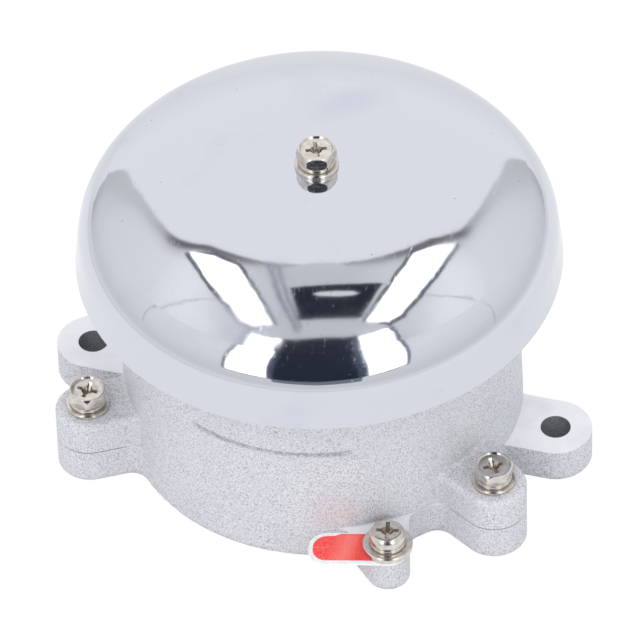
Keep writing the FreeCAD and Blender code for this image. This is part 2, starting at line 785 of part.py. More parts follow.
def lock_washer(name, outer, inner, thickness, shift=Size.of(0)):
    """Split spring washer, flattened, with its slanted split towards -Y."""
    body = washer(name, outer, inner, thickness, shift)
    lean = thickness * tangent(d.lock_split_angle) / 2
    half = d.lock_split / 2
    split = sketch_on(body, "XZ_Plane", outer + d.lock_split - shift)
    contour(split, [(-half - lean, 0), (half - lean, 0), (half + lean, thickness),
                    (-half + lean, thickness)])
    pocket(body, split, outer)
    return body


def thrice(body):
    around(body, None, 3, whole=True)
    return body


def twice(body):
    around(body, None, 2, whole=True)
    return body


def make_gong_fasteners():
    plate = washer("gong_washer", d.washer_radius, M4_HOLE, d.washer_thickness)
    put(plate, z=GONG_TOP)
    lock = lock_washer("gong_lock_washer", d.lock_radius, M4_HOLE, d.lock_thickness)
    put(lock, z=GONG_TOP + d.washer_thickness)
    screw = hex_screw("gong_screw", d.gong_screw_length, turn=17, cross_turn=24)
    put(screw, z=GONG_TOP + d.washer_thickness + d.lock_thickness)
    return [plate, lock, screw]


def make_cover_fasteners():
    plates = thrice(washer("cover_washers", d.washer_radius, M4_HOLE, d.washer_thickness, TAB_PITCH))
    put(plates, z=TAB_TOP)
    locks = thrice(lock_washer("cover_lock_washers", d.lock_radius, M4_HOLE, d.lock_thickness,
                               TAB_PITCH))
    put(locks, z=TAB_TOP + d.washer_thickness)
    screws = thrice(hex_screw("cover_screws", d.cover_screw_length, TAB_PITCH, turn=18, cross_turn=60))
    put(screws, z=TAB_TOP + d.washer_thickness + d.lock_thickness)
    return [plates, locks, screws]


def make_earth_terminal():
    x, y = EARTH_PITCH * cosine(d.earth_angle), EARTH_PITCH * sine(d.earth_angle)
    tag = new_body("earth_tag")
    low, high = d.tag_offset - d.tag_width / 2, d.tag_offset + d.tag_width / 2
    corner, end = d.tag_corner, d.tag_length - d.tag_corner
    tongue = sketch_on(tag, "XY_Plane")
    contour(tongue, [(0, low), (end, low), (d.tag_length, low + corner), (d.tag_length, high - corner),
                     (end, high), (0, high)],
            {1: (end, low + corner, corner), 3: (end, high - corner, corner)})
    pad(tag, tongue, d.tag_thickness)
    eye = sketch_on(tag, "XY_Plane")
    circle(eye, 0, d.tag_offset, d.tag_width / 2)
    pad(tag, eye, d.tag_thickness)
    hole = sketch_on(tag, "XY_Plane", d.tag_thickness)
    circle(hole, 0, 0, M4_HOLE)
    pocket(tag, hole, d.tag_thickness)
    put(tag, x, y, PARTING, turn=d.tag_angle)
    plate = washer("earth_washer", d.earth_washer_radius, M4_HOLE, d.earth_washer_thickness)
    put(plate, x, y, PARTING + d.tag_thickness)
    lock = lock_washer("earth_lock_washer", d.lock_radius, M4_HOLE, d.lock_thickness)
    put(lock, x, y, PARTING + d.tag_thickness + d.earth_washer_thickness)
    screw = pan_screw("earth_screw", d.pan_radius, d.pan_height, d.m4_radius, d.earth_screw_length,
                      d.cross_span)
    slot = sketch_on(screw, "XY_Plane", d.pan_height)
    rectangle(slot, -d.pan_radius, -d.cross_width / 2, d.pan_radius, d.cross_width / 2)
    pocket(screw, slot, d.slot_depth)
    put(screw, x, y, PARTING + d.tag_thickness + d.earth_washer_thickness + d.lock_thickness)
    return [tag, plate, lock, screw]


# ---- electromagnet and striker; each body's own +Y is the striking direction ----

def along_axis(name, corners, arcs=None):
    """A turned piece on the striker's axis: corners are radius and station along the axis."""
    body = new_body(name)
    section = sketch_on(body, "XY_Plane")
    contour(section, corners, arcs)
    turned(body, section)
    put(body, z=AXIS_HEIGHT, turn=180)
    return body


def tube(inner, outer, rear, front):
    return [(inner, rear), (outer, rear), (outer, front), (inner, front)]


def station(edge, place, slack=0.01):
    return all(abs(point.y - place.value) < slack for point in samples(edge))


def make_yoke():
    """U-shaped steel frame that hangs from the housing's top by two ears."""
    body = new_body("solenoid_yoke")
    strip = sketch_on(body, "YZ_Plane", -d.yoke_width / 2)
    inside = YOKE_HALF - d.yoke_thickness
    web = d.yoke_rise - d.yoke_thickness
    contour(strip, [(-YOKE_HALF, -d.yoke_drop), (-YOKE_HALF, d.yoke_rise), (YOKE_HALF, d.yoke_rise),
                    (YOKE_HALF, -d.yoke_drop), (inside, -d.yoke_drop), (inside, web),
                    (-inside, web), (-inside, -d.yoke_drop)])
    frame = pad(body, strip, d.yoke_width)
    round_edges(body, frame, lambda edge: level(edge, d.yoke_rise)
                and (station(edge, YOKE_HALF) or station(edge, -YOKE_HALF)), d.yoke_bend)
    ears = sketch_on(body, "XY_Plane", web, turn=-90)
    ear(ears, 0, d.yoke_ear_width / 2, d.yoke_ear_pitch, d.yoke_ear_radius)
    around(body, [pad(body, ears, d.yoke_thickness)], 2)
    tenons = sketch_on(body, "XY_Plane", -d.yoke_drop)
    for rear, front in ((-YOKE_HALF, -inside), (inside, YOKE_HALF)):
        rectangle(tenons, -d.tenon_width / 2, rear, d.tenon_width / 2, front)
    pad(body, tenons, d.yoke_thickness, back=True)
    rear_hole = sketch_on(body, "XZ_Plane", YOKE_HALF)
    circle(rear_hole, 0, 0, d.plunger_radius + d.rod_passage_gap)
    pocket(body, rear_hole, d.yoke_thickness)
    front_hole = sketch_on(body, "XZ_Plane", -YOKE_HALF)
    circle(front_hole, 0, 0, d.rod_radius + d.rod_passage_gap)
    pocket(body, front_hole, d.yoke_thickness, back=True)
    screw_holes = sketch_on(body, "XY_Plane", d.yoke_rise)
    circle(screw_holes, d.yoke_ear_pitch, 0, M3_HOLE)
    circle(screw_holes, -d.yoke_ear_pitch, 0, M3_HOLE)
    pocket(body, screw_holes, d.yoke_thickness)
    put(body, z=AXIS_HEIGHT, turn=180)
    return body


def make_keeper():
    """Flat plate that closes the yoke's open side; the yoke's tenons are staked through it."""
    body = new_body("yoke_keeper")
    plate = sketch_on(body, "XY_Plane", -d.yoke_drop)
    rectangle(plate, -d.yoke_width / 2, -YOKE_HALF - d.yoke_thickness,
              d.yoke_width / 2, YOKE_HALF + d.yoke_thickness)
    pad(body, plate, d.yoke_thickness, back=True)
    slots = sketch_on(body, "XY_Plane", -d.yoke_drop)
    half = d.tenon_width / 2 + d.tenon_gap
    inside = YOKE_HALF - d.yoke_thickness
    for rear, front in ((-YOKE_HALF, -inside), (inside, YOKE_HALF)):
        rectangle(slots, -half, rear - d.tenon_gap, half, front + d.tenon_gap)
    pocket(body, slots, d.yoke_thickness)
    put(body, z=AXIS_HEIGHT, turn=180)
    return body


def make_bobbin():
    bore = d.plunger_radius + d.running_gap
    drum, flange = bore + d.bobbin_wall, COIL_HALF - d.bobbin_flange
    return along_axis("bobbin", [
        (bore, -COIL_HALF), (d.bobbin_flange_radius, -COIL_HALF), (d.bobbin_flange_radius, -flange),
        (drum, -flange), (drum, flange), (d.bobbin_flange_radius, flange),
        (d.bobbin_flange_radius, COIL_HALF), (bore, COIL_HALF)])


def make_coil():
    drum = d.plunger_radius + d.running_gap + d.bobbin_wall
    half = COIL_HALF - d.bobbin_flange - d.coil_clearance
    return along_axis("coil_winding", tube(drum + d.coil_clearance, COIL_RADIUS, -half, half))


def make_plunger():
    body = along_axis("plunger", [
        (0, PLUNGER_REAR), (d.plunger_radius, PLUNGER_REAR), (d.plunger_radius, PLUNGER_FRONT),
        (d.rod_radius, PLUNGER_FRONT), (d.rod_radius, PLUNGER_FRONT - d.plunger_socket),
        (0, PLUNGER_FRONT - d.plunger_socket)])
    bevel_edges(body, body.Tip, lambda edge: (station(edge, PLUNGER_REAR) or station(edge, PLUNGER_FRONT))
                and edge.BoundBox.XMax > d.rod_radius.value + 0.1, d.plunger_chamfer)
    return body


def make_rod():
    return along_axis("striker_rod", tube(Size.of(0), d.rod_radius, PLUNGER_FRONT - d.plunger_socket,
                                          TIP_REAR + d.tip_socket))


def make_tip():
    body = along_axis("striker_tip", [
        (d.rod_radius, TIP_REAR), (d.tip_radius, TIP_REAR), (d.tip_radius, TIP_FRONT), (0, TIP_FRONT),
        (0, TIP_REAR + d.tip_socket), (d.rod_radius, TIP_REAR + d.tip_socket)])
    round_edges(body, body.Tip, lambda edge: station(edge, TIP_FRONT), d.tip_round)
    return body


def make_collar():
    return along_axis("spring_collar", tube(d.rod_radius, d.collar_radius,
                                            SPRING_REAR - d.collar_thickness, SPRING_REAR))


def make_spring():
    body = new_body("return_spring")
    wire = sketch_on(body, "XY_Plane")
    first = SPRING_REAR + d.spring_wire + d.running_gap
    last = SPRING_FRONT - d.spring_wire - d.running_gap
    circle(wire, d.spring_radius, first, d.spring_wire)
    coil = body.newObject("PartDesign::AdditiveHelix", "coil")
    coil.Profile = wire
    coil.ReferenceAxis = (wire, ["V_Axis"])
    coil.Mode = "height-turns-angle"
    bind(coil, "Height", last - first)
    bind(coil, "Turns", d.spring_turns)
    put(body, z=AXIS_HEIGHT, turn=180)
    return body


def make_bush():
    bore = d.rod_radius + d.running_gap
    return along_axis("guide_bush", [
        (bore, SPRING_FRONT), (d.bush_flange_radius, SPRING_FRONT), (d.bush_flange_radius, BUSH_SEAT),
        (d.bush_radius, BUSH_SEAT), (d.bush_radius, BUSH_NOSE), (bore, BUSH_NOSE)])


def make_buffer():
    behind = STOP_RIB_FACE - d.stop_rib_thickness
    return along_axis("rear_buffer", [
        (0, BUFFER_FACE), (0, behind - d.buffer_bulb), (d.buffer_stem_radius, behind - d.buffer_bulb),
        (d.buffer_bulb_radius, behind), (d.buffer_stem_radius, behind),
        (d.buffer_stem_radius, STOP_RIB_FACE), (d.buffer_radius, STOP_RIB_FACE),
        (d.buffer_radius, BUFFER_FACE)])


def hang(body, height):
    """Turn a pair of fasteners upside down, from its own Y axis onto the X axis, at a height."""
    body.Placement = FreeCAD.Placement(FreeCAD.Vector(), FreeCAD.Rotation(FreeCAD.Vector(1, 1, 0), 180))
    bind(body, "Placement.Base.z", height)


def make_yoke_fasteners():
    ears = CEILING - d.yoke_thickness
    locks = twice(lock_washer("yoke_lock_washers", d.small_lock_radius, M3_HOLE,
                              d.small_lock_thickness, d.yoke_ear_pitch))
    hang(locks, ears)
    screws = twice(pan_screw("yoke_screws", d.small_pan_radius, d.small_pan_height, d.m3_radius,
                             d.yoke_screw_length, d.small_cross_span, d.yoke_ear_pitch))
    hang(screws, ears - d.small_lock_thickness)
    return [locks, screws]


# ---- cable entry and terminal block ----

def make_grommet():
    body = new_body("cable_grommet")
    inner = CABLE_SEAT - d.grommet_wall
    neck = d.cable_bore_radius + d.grommet_neck
    section = sketch_on(body, "XY_Plane")
    contour(section, [
        (d.cable_bore_radius, inner - d.grommet_flange_thickness),
        (GROMMET_RADIUS, inner - d.grommet_flange_thickness), (GROMMET_RADIUS, inner), (neck, inner),
        (neck, CABLE_SEAT), (GROMMET_RADIUS, CABLE_SEAT),
        (GROMMET_RADIUS, CABLE_SEAT + d.grommet_flange_thickness),
        (d.cable_bore_radius, CABLE_SEAT + d.grommet_flange_thickness)])
    lip = turned(body, section)
    outer_face = CABLE_SEAT + d.grommet_flange_thickness
    round_edges(body, lip, lambda edge: station(edge, outer_face)
                and edge.BoundBox.XMax > GROMMET_RADIUS.value - 0.1, d.grommet_flange_thickness / 2)
    put(body, z=d.cable_height)
    return body


def make_block():
    """Two-pole moulded block: a pole each side of a valley that takes the fixing screws."""
    body = new_body("terminal_block")
    low, high = d.block_place - d.block_width / 2, d.block_place + d.block_width / 2
    plan = sketch_on(body, "XY_Plane", BLOCK_FOOT)
    rectangle(plan, -d.block_length / 2, low, d.block_length / 2, high)
    block = pad(body, plan, d.block_height)
    round_edges(body, block, lambda edge: upright(edge) or level(edge, BLOCK_TOP), d.block_edge_round)
    valley = sketch_on(body, "XZ_Plane", -low)
    rectangle(valley, -d.block_valley_half, BLOCK_FOOT + d.block_valley_floor, d.block_valley_half,
              BLOCK_TOP)
    pocket(body, valley, d.block_width)
    bores = sketch_on(body, "XZ_Plane", -low, shift=LEAD_IN_HEIGHT)
    wells = sketch_on(body, "XY_Plane", BLOCK_TOP)
    fixings = sketch_on(body, "XY_Plane", BLOCK_TOP)
    for side in (-1, 1):
        circle(bores, side * BLOCK_POLE, 0, INSERT_RADIUS)
        circle(fixings, 0, d.block_place + side * BLOCK_FIXING, M3_HOLE)
        for end in (-1, 1):
            circle(wells, side * BLOCK_POLE, d.block_place + end * d.clamp_pitch / 2,
                   d.clamp_head_radius + d.thread_gap)
    pocket(body, bores, d.block_width)
    pocket(body, wells, BLOCK_TOP - LEAD_IN_HEIGHT)
    pocket(body, fixings, d.block_height)
    return body


def make_inserts():
    body = new_body("terminal_inserts")
    ring = sketch_on(body, "XZ_Plane", -d.insert_length / 2)
    for side in (-1, 1):
        circle(ring, side * BLOCK_POLE, 0, INSERT_RADIUS)
        circle(ring, side * BLOCK_POLE, 0, d.block_lead_in_radius)
    body.AllowCompound = True
    pad(body, ring, d.insert_length)
    taps = sketch_on(body, "XY_Plane")
    for side in (-1, 1):
        for end in (-1, 1):
            circle(taps, side * BLOCK_POLE, end * d.clamp_pitch / 2, d.clamp_screw_radius + d.thread_gap)
    pocket(body, taps, d.block_height, back=True)
    put(body, y=d.block_place, z=LEAD_IN_HEIGHT)
    return body


def make_clamp_screws():
    """Four slotted screws that clamp the wires, standing on the inserts' tops."""
    body = new_body("terminal_clamp_screws")
    body.AllowCompound = True
    heads, shanks, slots = (sketch_on(body, "XY_Plane") for _ in range(3))
    bind(slots, "AttachmentOffset.Base.z", d.clamp_head_height)
    for side in (-1, 1):
        for end in (-1, 1):
            x, y = side * BLOCK_POLE, end * d.clamp_pitch / 2
            circle(heads, x, y, d.clamp_head_radius)
            circle(shanks, x, y, d.clamp_screw_radius)
            rectangle(slots, x - d.clamp_head_radius, y - d.cross_width / 4,
                      x + d.clamp_head_radius, y + d.cross_width / 4)
    pad(body, heads, d.clamp_head_height)
    pad(body, shanks, d.insert_wall + d.block_lead_in_radius / 2, back=True)
    pocket(body, slots, d.clamp_head_height / 3)
    put(body, y=d.block_place, z=LEAD_IN_HEIGHT + INSERT_RADIUS)
    return body


def make_block_screws():
    body = twice(pan_screw("terminal_block_screws", d.small_pan_radius, d.small_pan_height,
                           d.m3_radius, d.block_screw_length, d.small_cross_span, BLOCK_FIXING))
    put(body, y=d.block_place, z=BLOCK_FOOT + d.block_valley_floor)
    return body


def make_leads():
    """Two insulated wires from the coil's sides, round the keeper, into the terminal block."""
    radius = d.lead_radius.value
    clear = (d.yoke_width / 2 + 2 * d.lead_radius).value
    start = (COIL_RADIUS + d.lead_radius + d.coil_clearance).value
    coil_y = (COIL_HALF / 2).value
    mouth = (d.block_place - d.block_width / 2).value
    end = (d.block_place - d.insert_length / 2).value
    axis, entry = AXIS_HEIGHT.value, LEAD_IN_HEIGHT.value
    fall = (axis - entry) / 3
    wires = []
    for side in (-1, 1):
        pole = side * BLOCK_POLE.value
        route = [FreeCAD.Vector(side * start, coil_y, axis + radius),
                 FreeCAD.Vector(side * clear, coil_y, axis - fall / 2),
                 FreeCAD.Vector(side * clear, coil_y - radius, axis - 1.6 * fall),
                 FreeCAD.Vector(pole, mouth / 2, entry + fall / 2),
                 FreeCAD.Vector(pole, mouth - 2 * radius, entry),
                 FreeCAD.Vector(pole, end, entry)]
        curve = Part.BSplineCurve()
        curve.interpolate(Points=route, InitialTangent=FreeCAD.Vector(side, 0, -1),
                          FinalTangent=FreeCAD.Vector(0, 1, 0))
        spine = Part.Wire(curve.toShape())
        ring = Part.Wire(Part.makeCircle(radius, route[0], FreeCAD.Vector(side, 0, -1)))
        wires.append(spine.makePipeShell([ring], True, False))
    leads = doc.addObject("Part::Feature", "coil_leads")
    leads.Label = "coil_leads"
    leads.Shape = Part.makeCompound(wires)
    return leads


# ---- the whole bell ----

parts = [make_base_plate(), make_housing(), make_gong(), make_gong_post()]
parts += make_gong_fasteners()
parts += make_cover_fasteners()
parts += make_earth_terminal()
parts += [make_yoke(), make_keeper(), make_bobbin(), make_coil(), make_plunger(), make_rod(),
          make_tip(), make_collar(), make_spring(), make_bush(), make_buffer()]
parts += make_yoke_fasteners()
parts += [make_grommet(), make_block(), make_inserts(), make_clamp_screws(), make_block_screws(),
          make_leads()]
doc.recompute()

for thing in doc.Objects:
    failed = {"Invalid", "Error"} & set(thing.State)
    assert not failed, f"{thing.Label} did not build: {thing.State}"
for part in parts:
    assert not part.Shape.isNull() and part.Shape.isValid(), f"{part.Label} has no valid shape"

os.makedirs("parts", exist_ok=True)
for part in parts:
    part.Shape.exportStep(f"parts/{part.Label}.step")
    print(f"{part.Label}: {len(part.Shape.Solids)} solid(s), {part.Shape.Volume:.0f} mm3")
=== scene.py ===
import math

import bmesh
import bpy
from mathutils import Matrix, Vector


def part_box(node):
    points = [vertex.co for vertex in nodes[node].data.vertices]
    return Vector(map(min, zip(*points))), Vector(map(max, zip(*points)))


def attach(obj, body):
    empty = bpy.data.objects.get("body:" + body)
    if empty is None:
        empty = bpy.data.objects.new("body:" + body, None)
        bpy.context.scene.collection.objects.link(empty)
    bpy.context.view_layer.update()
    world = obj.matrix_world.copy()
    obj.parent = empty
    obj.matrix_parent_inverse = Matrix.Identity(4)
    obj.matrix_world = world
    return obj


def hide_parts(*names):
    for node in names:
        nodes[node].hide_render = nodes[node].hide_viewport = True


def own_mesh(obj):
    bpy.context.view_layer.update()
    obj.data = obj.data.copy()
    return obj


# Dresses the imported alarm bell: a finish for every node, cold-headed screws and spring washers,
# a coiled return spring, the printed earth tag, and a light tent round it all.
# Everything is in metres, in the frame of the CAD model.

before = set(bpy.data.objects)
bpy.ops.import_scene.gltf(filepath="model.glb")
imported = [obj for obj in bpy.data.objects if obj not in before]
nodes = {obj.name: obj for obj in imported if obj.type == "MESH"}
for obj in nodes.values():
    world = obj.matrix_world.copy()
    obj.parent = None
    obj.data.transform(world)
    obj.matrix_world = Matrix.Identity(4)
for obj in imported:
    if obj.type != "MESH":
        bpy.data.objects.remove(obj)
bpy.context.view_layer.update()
bpy.ops.object.select_all(action="DESELECT")
bpy.context.scene.view_settings.view_transform = "Standard"
MM = 0.001


# ---- the frame's own sizes that the dressing follows ----

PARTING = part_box("housing")[0].z
GONG_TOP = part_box("gong")[1].z


# ---- node helpers ----

def linear(code):
    """An sRGB hex colour as linear RGBA."""
    shares = [int(code[place:place + 2], 16) / 255 for place in (1, 3, 5)]
    return tuple(s / 12.92 if s <= 0.04045 else ((s + 0.055) / 1.055) ** 2.4 for s in shares) + (1.0,)


def add(tree, kind, sockets=None, **settings):
    """A node with its settings. Each input is given by its name, or by its number where names
    repeat, as a value, as an output, or as a node, which then gives the first output in use."""
    node = tree.nodes.new(kind)
    for name, value in settings.items():
        setattr(node, name, value)
    for name, value in (sockets or {}).items():
        if isinstance(value, bpy.types.Node):
            value = next(output for output in value.outputs if output.enabled)
        if isinstance(value, bpy.types.NodeSocket):
            tree.links.new(value, node.inputs[name])
        else:
            node.inputs[name].default_value = value
    return node


def empty_tree(owner):
    """The node tree of a new material or world, with nothing in it."""
    owner.use_nodes = True
    owner.node_tree.nodes.clear()
    return owner.node_tree


def new_finish(name):
    """A new material, its empty tree and the object coordinates."""
    material = bpy.data.materials.new(name)
    tree = empty_tree(material)
    return material, tree, add(tree, "ShaderNodeTexCoord").outputs["Object"]


def set_finish(material, *names):
    """Give CAD nodes one material, in place of their own."""
    for name in names:
        slots = nodes[name].data.materials
        slots.clear()
        slots.append(material)


# ---- finishes ----

def silver_casting_paint(name, ground_height=None, ledge=None, shaded_bores=None):
    """Sprayed silver paint on a die casting: fine dark specks in a satin light grey, with soft
    patches where it lies thicker, and painted shade deep in the corners, left off the parting line
    round the wall, which the paint bridges. Above ground_height the lug tops are ground smooth.
    ledge is the height, half width and front of a cast ledge, with a grey line of painted shade
    under it. shaded_bores is the pitch and radius of the drilled holes: bare metal, painted dark
    for the shade deep in them."""
    material, tree, place = new_finish(name)
    # the real flakes are about 0.05 mm; they are drawn 0.2 mm wide so that they show
    sparkle = add(tree, "ShaderNodeTexNoise", {"Vector": place, "Scale": 1 / (0.22 * MM), "Detail": 1.0})
    cloud = add(tree, "ShaderNodeTexNoise", {"Vector": place, "Scale": 1 / (9 * MM), "Detail": 3.0})
    dust = add(tree, "ShaderNodeTexNoise", {"Vector": place, "Scale": 1 / (0.7 * MM)})
    flakes = add(tree, "ShaderNodeMapRange", {"Value": sparkle, "From Min": 0.32, "From Max": 0.52})
    colour = add(tree, "ShaderNodeMix", {0: flakes, 6: linear("#8A8B93"), 7: linear("#DBDCE0")},
                 data_type="RGBA")
    patches = add(tree, "ShaderNodeMapRange", {"Value": cloud, "From Min": 0.40, "From Max": 0.62,
                                               "To Max": 0.15})
    colour = add(tree, "ShaderNodeMix", {0: patches, 6: colour, 7: linear("#C6C7CC")}, data_type="RGBA")
    specks = add(tree, "ShaderNodeMapRange", {"Value": dust, "From Min": 0.72, "From Max": 0.79})
    colour = add(tree, "ShaderNodeMix", {0: specks, 6: colour, 7: linear("#94959D")}, data_type="RGBA")
    height = sparkle
    parts = add(tree, "ShaderNodeSeparateXYZ", {0: place}).outputs
    across = add(tree, "ShaderNodeMath", {0: parts[0]}, operation="ABSOLUTE")
    plan = add(tree, "ShaderNodeCombineXYZ", {0: across, 1: parts[1]})
    from_middle = add(tree, "ShaderNodeVectorMath", {0: plan}, operation="LENGTH")
    if ground_height is not None:
        ground = add(tree, "ShaderNodeMapRange", {"Value": parts[2], "From Min": ground_height - 0.02 * MM,
                                                  "From Max": ground_height - 0.01 * MM})
        scuffed = add(tree, "ShaderNodeMapRange", {"Value": cloud, "From Min": 0.45, "From Max": 0.7})
        bright = add(tree, "ShaderNodeMix", {0: scuffed, 6: linear("#F0F1F4"), 7: linear("#E4E5E9")},
                     data_type="RGBA")
        colour = add(tree, "ShaderNodeMix", {0: ground, 6: colour, 7: bright}, data_type="RGBA")
        painted = add(tree, "ShaderNodeMath", {0: 1.0, 1: ground}, operation="SUBTRACT")
        height = add(tree, "ShaderNodeMath", {0: sparkle, 1: painted}, operation="MULTIPLY")
    if ledge is not None:
        level, half_width, front = ledge
        # where the painted shade line lies: its foot, the ledge over it, its ends, its face, and its uneven
        # strength
        shares = [add(tree, "ShaderNodeMapRange", {"Value": value, "From Min": low, "From Max": high,
                                                   "To Min": to_low, "To Max": to_high})
                  for value, low, high, to_low, to_high in (
                      (parts[2], level - 1.9 * MM, level - 1.2 * MM, 0.0, 1.0),
                      (parts[2], level, level + 0.1 * MM, 1.0, 0.0),
                      (across, 0.85 * half_width, half_width, 1.0, 0.0),
                      (parts[1], front, 0.9 * front, 1.0, 0.0),
                      (dust, 0.35, 0.6, 0.2, 0.75))]
        ledge_shade = shares[0]
        for share in shares[1:]:
            ledge_shade = add(tree, "ShaderNodeMath", {0: ledge_shade, 1: share}, operation="MULTIPLY")
        # painted shade: a grey line under the ledge, where its shadow falls
        colour = add(tree, "ShaderNodeMix", {0: ledge_shade, 6: colour, 7: linear("#7C7D85")}, data_type="RGBA")
    # painted shade: the paint is darkened deep in the corners that ambient occlusion finds
    corners = add(tree, "ShaderNodeAmbientOcclusion", {"Distance": 5 * MM}, samples=6).outputs["AO"]
    unshaded_share = add(tree, "ShaderNodeMapRange", {"Value": corners, "From Min": 0.18, "From Max": 0.46})
    # the painted corner shade is left off the parting line round the wall, which the paint bridges, but not
    # where a tab or a lug stands out
    from_joint = add(tree, "ShaderNodeMath", {0: parts[2], 1: PARTING}, operation="SUBTRACT")
    from_joint = add(tree, "ShaderNodeMath", {0: from_joint}, operation="ABSOLUTE")
    near_joint = add(tree, "ShaderNodeMapRange", {"Value": from_joint, "From Min": 0.4 * MM,
                                                  "From Max": 0.8 * MM, "To Min": 1.0, "To Max": 0.0})
    on_wall = add(tree, "ShaderNodeMapRange", {"Value": from_middle, "From Min": 44 * MM,
                                               "From Max": 46 * MM, "To Min": 1.0, "To Max": 0.0})
    bridged = add(tree, "ShaderNodeMath", {0: near_joint, 1: on_wall}, operation="MULTIPLY")
    clear = add(tree, "ShaderNodeMath", {0: unshaded_share, 1: bridged}, operation="MAXIMUM")
    colour = add(tree, "ShaderNodeMix", {0: clear, 6: linear("#3A3A40"), 7: colour}, data_type="RGBA")
    if shaded_bores is not None:
        pitch, radius = shaded_bores
        from_axis = add(tree, "ShaderNodeVectorMath", {0: plan, 1: (pitch, 0, 0)}, operation="DISTANCE")
        swirls = add(tree, "ShaderNodeMapRange", {"Value": sparkle, "From Min": 0.35, "From Max": 0.6})
        # bare metal in the bores, painted dark for the shade deep in them
        metal = add(tree, "ShaderNodeMix", {0: swirls, 6: linear("#5F6065"), 7: linear("#8E8F96")},
                    data_type="RGBA")
        undrilled = add(tree, "ShaderNodeMapRange", {"Value": from_axis, "From Min": radius + 0.02 * MM,
                                                     "From Max": radius + 0.06 * MM})
        colour = add(tree, "ShaderNodeMix", {0: undrilled, 6: metal, 7: colour}, data_type="RGBA")
    satin = add(tree, "ShaderNodeMapRange", {"Value": sparkle, "From Min": 0.3, "From Max": 0.7,
                                             "To Min": 0.55, "To Max": 0.42})
    bump = add(tree, "ShaderNodeBump", {"Height": height, "Distance": 0.04 * MM, "Strength": 0.5})
    shader = add(tree, "ShaderNodeBsdfPrincipled", {"Base Color": colour, "Roughness": satin, "Normal": bump,
                                                    "Coat Weight": 0.15, "Coat Roughness": 0.25})
    add(tree, "ShaderNodeOutputMaterial", {"Surface": shader})
    return material


def bright_chrome():
    """Chrome plate on a pressed steel gong: a cool mirror with hair scratches, dark pin specks,
    pale dust that shows in its dark reflections, and a few dull wiping marks."""
    material, tree, place = new_finish("polished_chrome_plate")
    stretched = add(tree, "ShaderNodeMapping", {"Vector": place, "Rotation": (0.0, 0.0, 0.6),
                                                "Scale": (1.0, 0.06, 1.0)})
    hair = add(tree, "ShaderNodeTexNoise", {"Vector": stretched, "Scale": 1 / (0.5 * MM), "Detail": 3.0})
    pins = add(tree, "ShaderNodeTexVoronoi", {"Vector": place, "Scale": 1 / (5.5 * MM)})
    wiping = add(tree, "ShaderNodeTexNoise", {"Vector": place, "Scale": 1 / (16 * MM), "Detail": 4.0})
    wiped = add(tree, "ShaderNodeMapRange", {"Value": wiping, "From Min": 0.58, "From Max": 0.72})
    colour = add(tree, "ShaderNodeMix", {0: wiped, 6: linear("#D8DBE4"), 7: linear("#D3D7E2")},
                 data_type="RGBA")
    unpitted = add(tree, "ShaderNodeMapRange", {"Value": pins, "From Min": 0.020, "From Max": 0.036})
    colour = add(tree, "ShaderNodeMix", {0: unpitted, 6: linear("#9396A2"), 7: colour}, data_type="RGBA")
    # one long bluish smear behind the screw
    smear = add(tree, "ShaderNodeMapping", {"Vector": place, "Location": (1.1 * MM, 21.0 * MM, 0.0),
                                            "Rotation": (0.0, 0.0, 0.9),
                                            "Scale": (11.5 * MM, 6.0 * MM, 1.0)}, vector_type="TEXTURE")
    smear = add(tree, "ShaderNodeVectorMath", {0: smear}, operation="LENGTH")
    smear = add(tree, "ShaderNodeMapRange", {"Value": smear, "From Min": 0.3, "From Max": 1.0,
                                             "To Min": 0.8, "To Max": 0.0})
    colour = add(tree, "ShaderNodeMix", {0: smear, 6: colour, 7: linear("#CDD1E0")}, data_type="RGBA")
    lint = add(tree, "ShaderNodeTexVoronoi", {"Vector": place, "Scale": 1 / (1.9 * MM)})
    dustless = add(tree, "ShaderNodeMapRange", {"Value": lint, "From Min": 0.05, "From Max": 0.08})
    unscratched = add(tree, "ShaderNodeMapRange", {"Value": hair, "From Min": 0.50, "From Max": 0.58,
                                                   "To Min": 1.0, "To Max": 0.0})
    polished = add(tree, "ShaderNodeMath", {0: dustless, 1: unscratched}, operation="MAXIMUM")
    colour = add(tree, "ShaderNodeMix", {0: polished, 6: linear("#E4E6EC"), 7: colour}, data_type="RGBA")
    mirror = add(tree, "ShaderNodeMapRange", {"Value": polished, "From Min": 0.0, "From Max": 1.0,
                                              "To Min": 0.45, "To Max": 1.0})
    scratched = add(tree, "ShaderNodeMapRange", {"Value": hair, "From Min": 0.62, "From Max": 0.75,
                                                 "To Min": 0.055, "To Max": 0.18})
    dulled = add(tree, "ShaderNodeMapRange", {"Value": wiping, "From Min": 0.5, "From Max": 0.75,
                                              "To Max": 0.05})
    rough = add(tree, "ShaderNodeMath", {0: scratched, 1: dulled}, operation="ADD")
    waves = add(tree, "ShaderNodeTexNoise", {"Vector": place, "Scale": 1 / (22 * MM), "Detail": 1.0})
    bump = add(tree, "ShaderNodeBump", {"Height": waves, "Distance": 0.05 * MM, "Strength": 0.35})
    shader = add(tree, "ShaderNodeBsdfPrincipled", {"Base Color": colour, "Metallic": mirror,
                                                    "Roughness": rough, "Normal": bump})
    add(tree, "ShaderNodeOutputMaterial", {"Surface": shader})
    return material


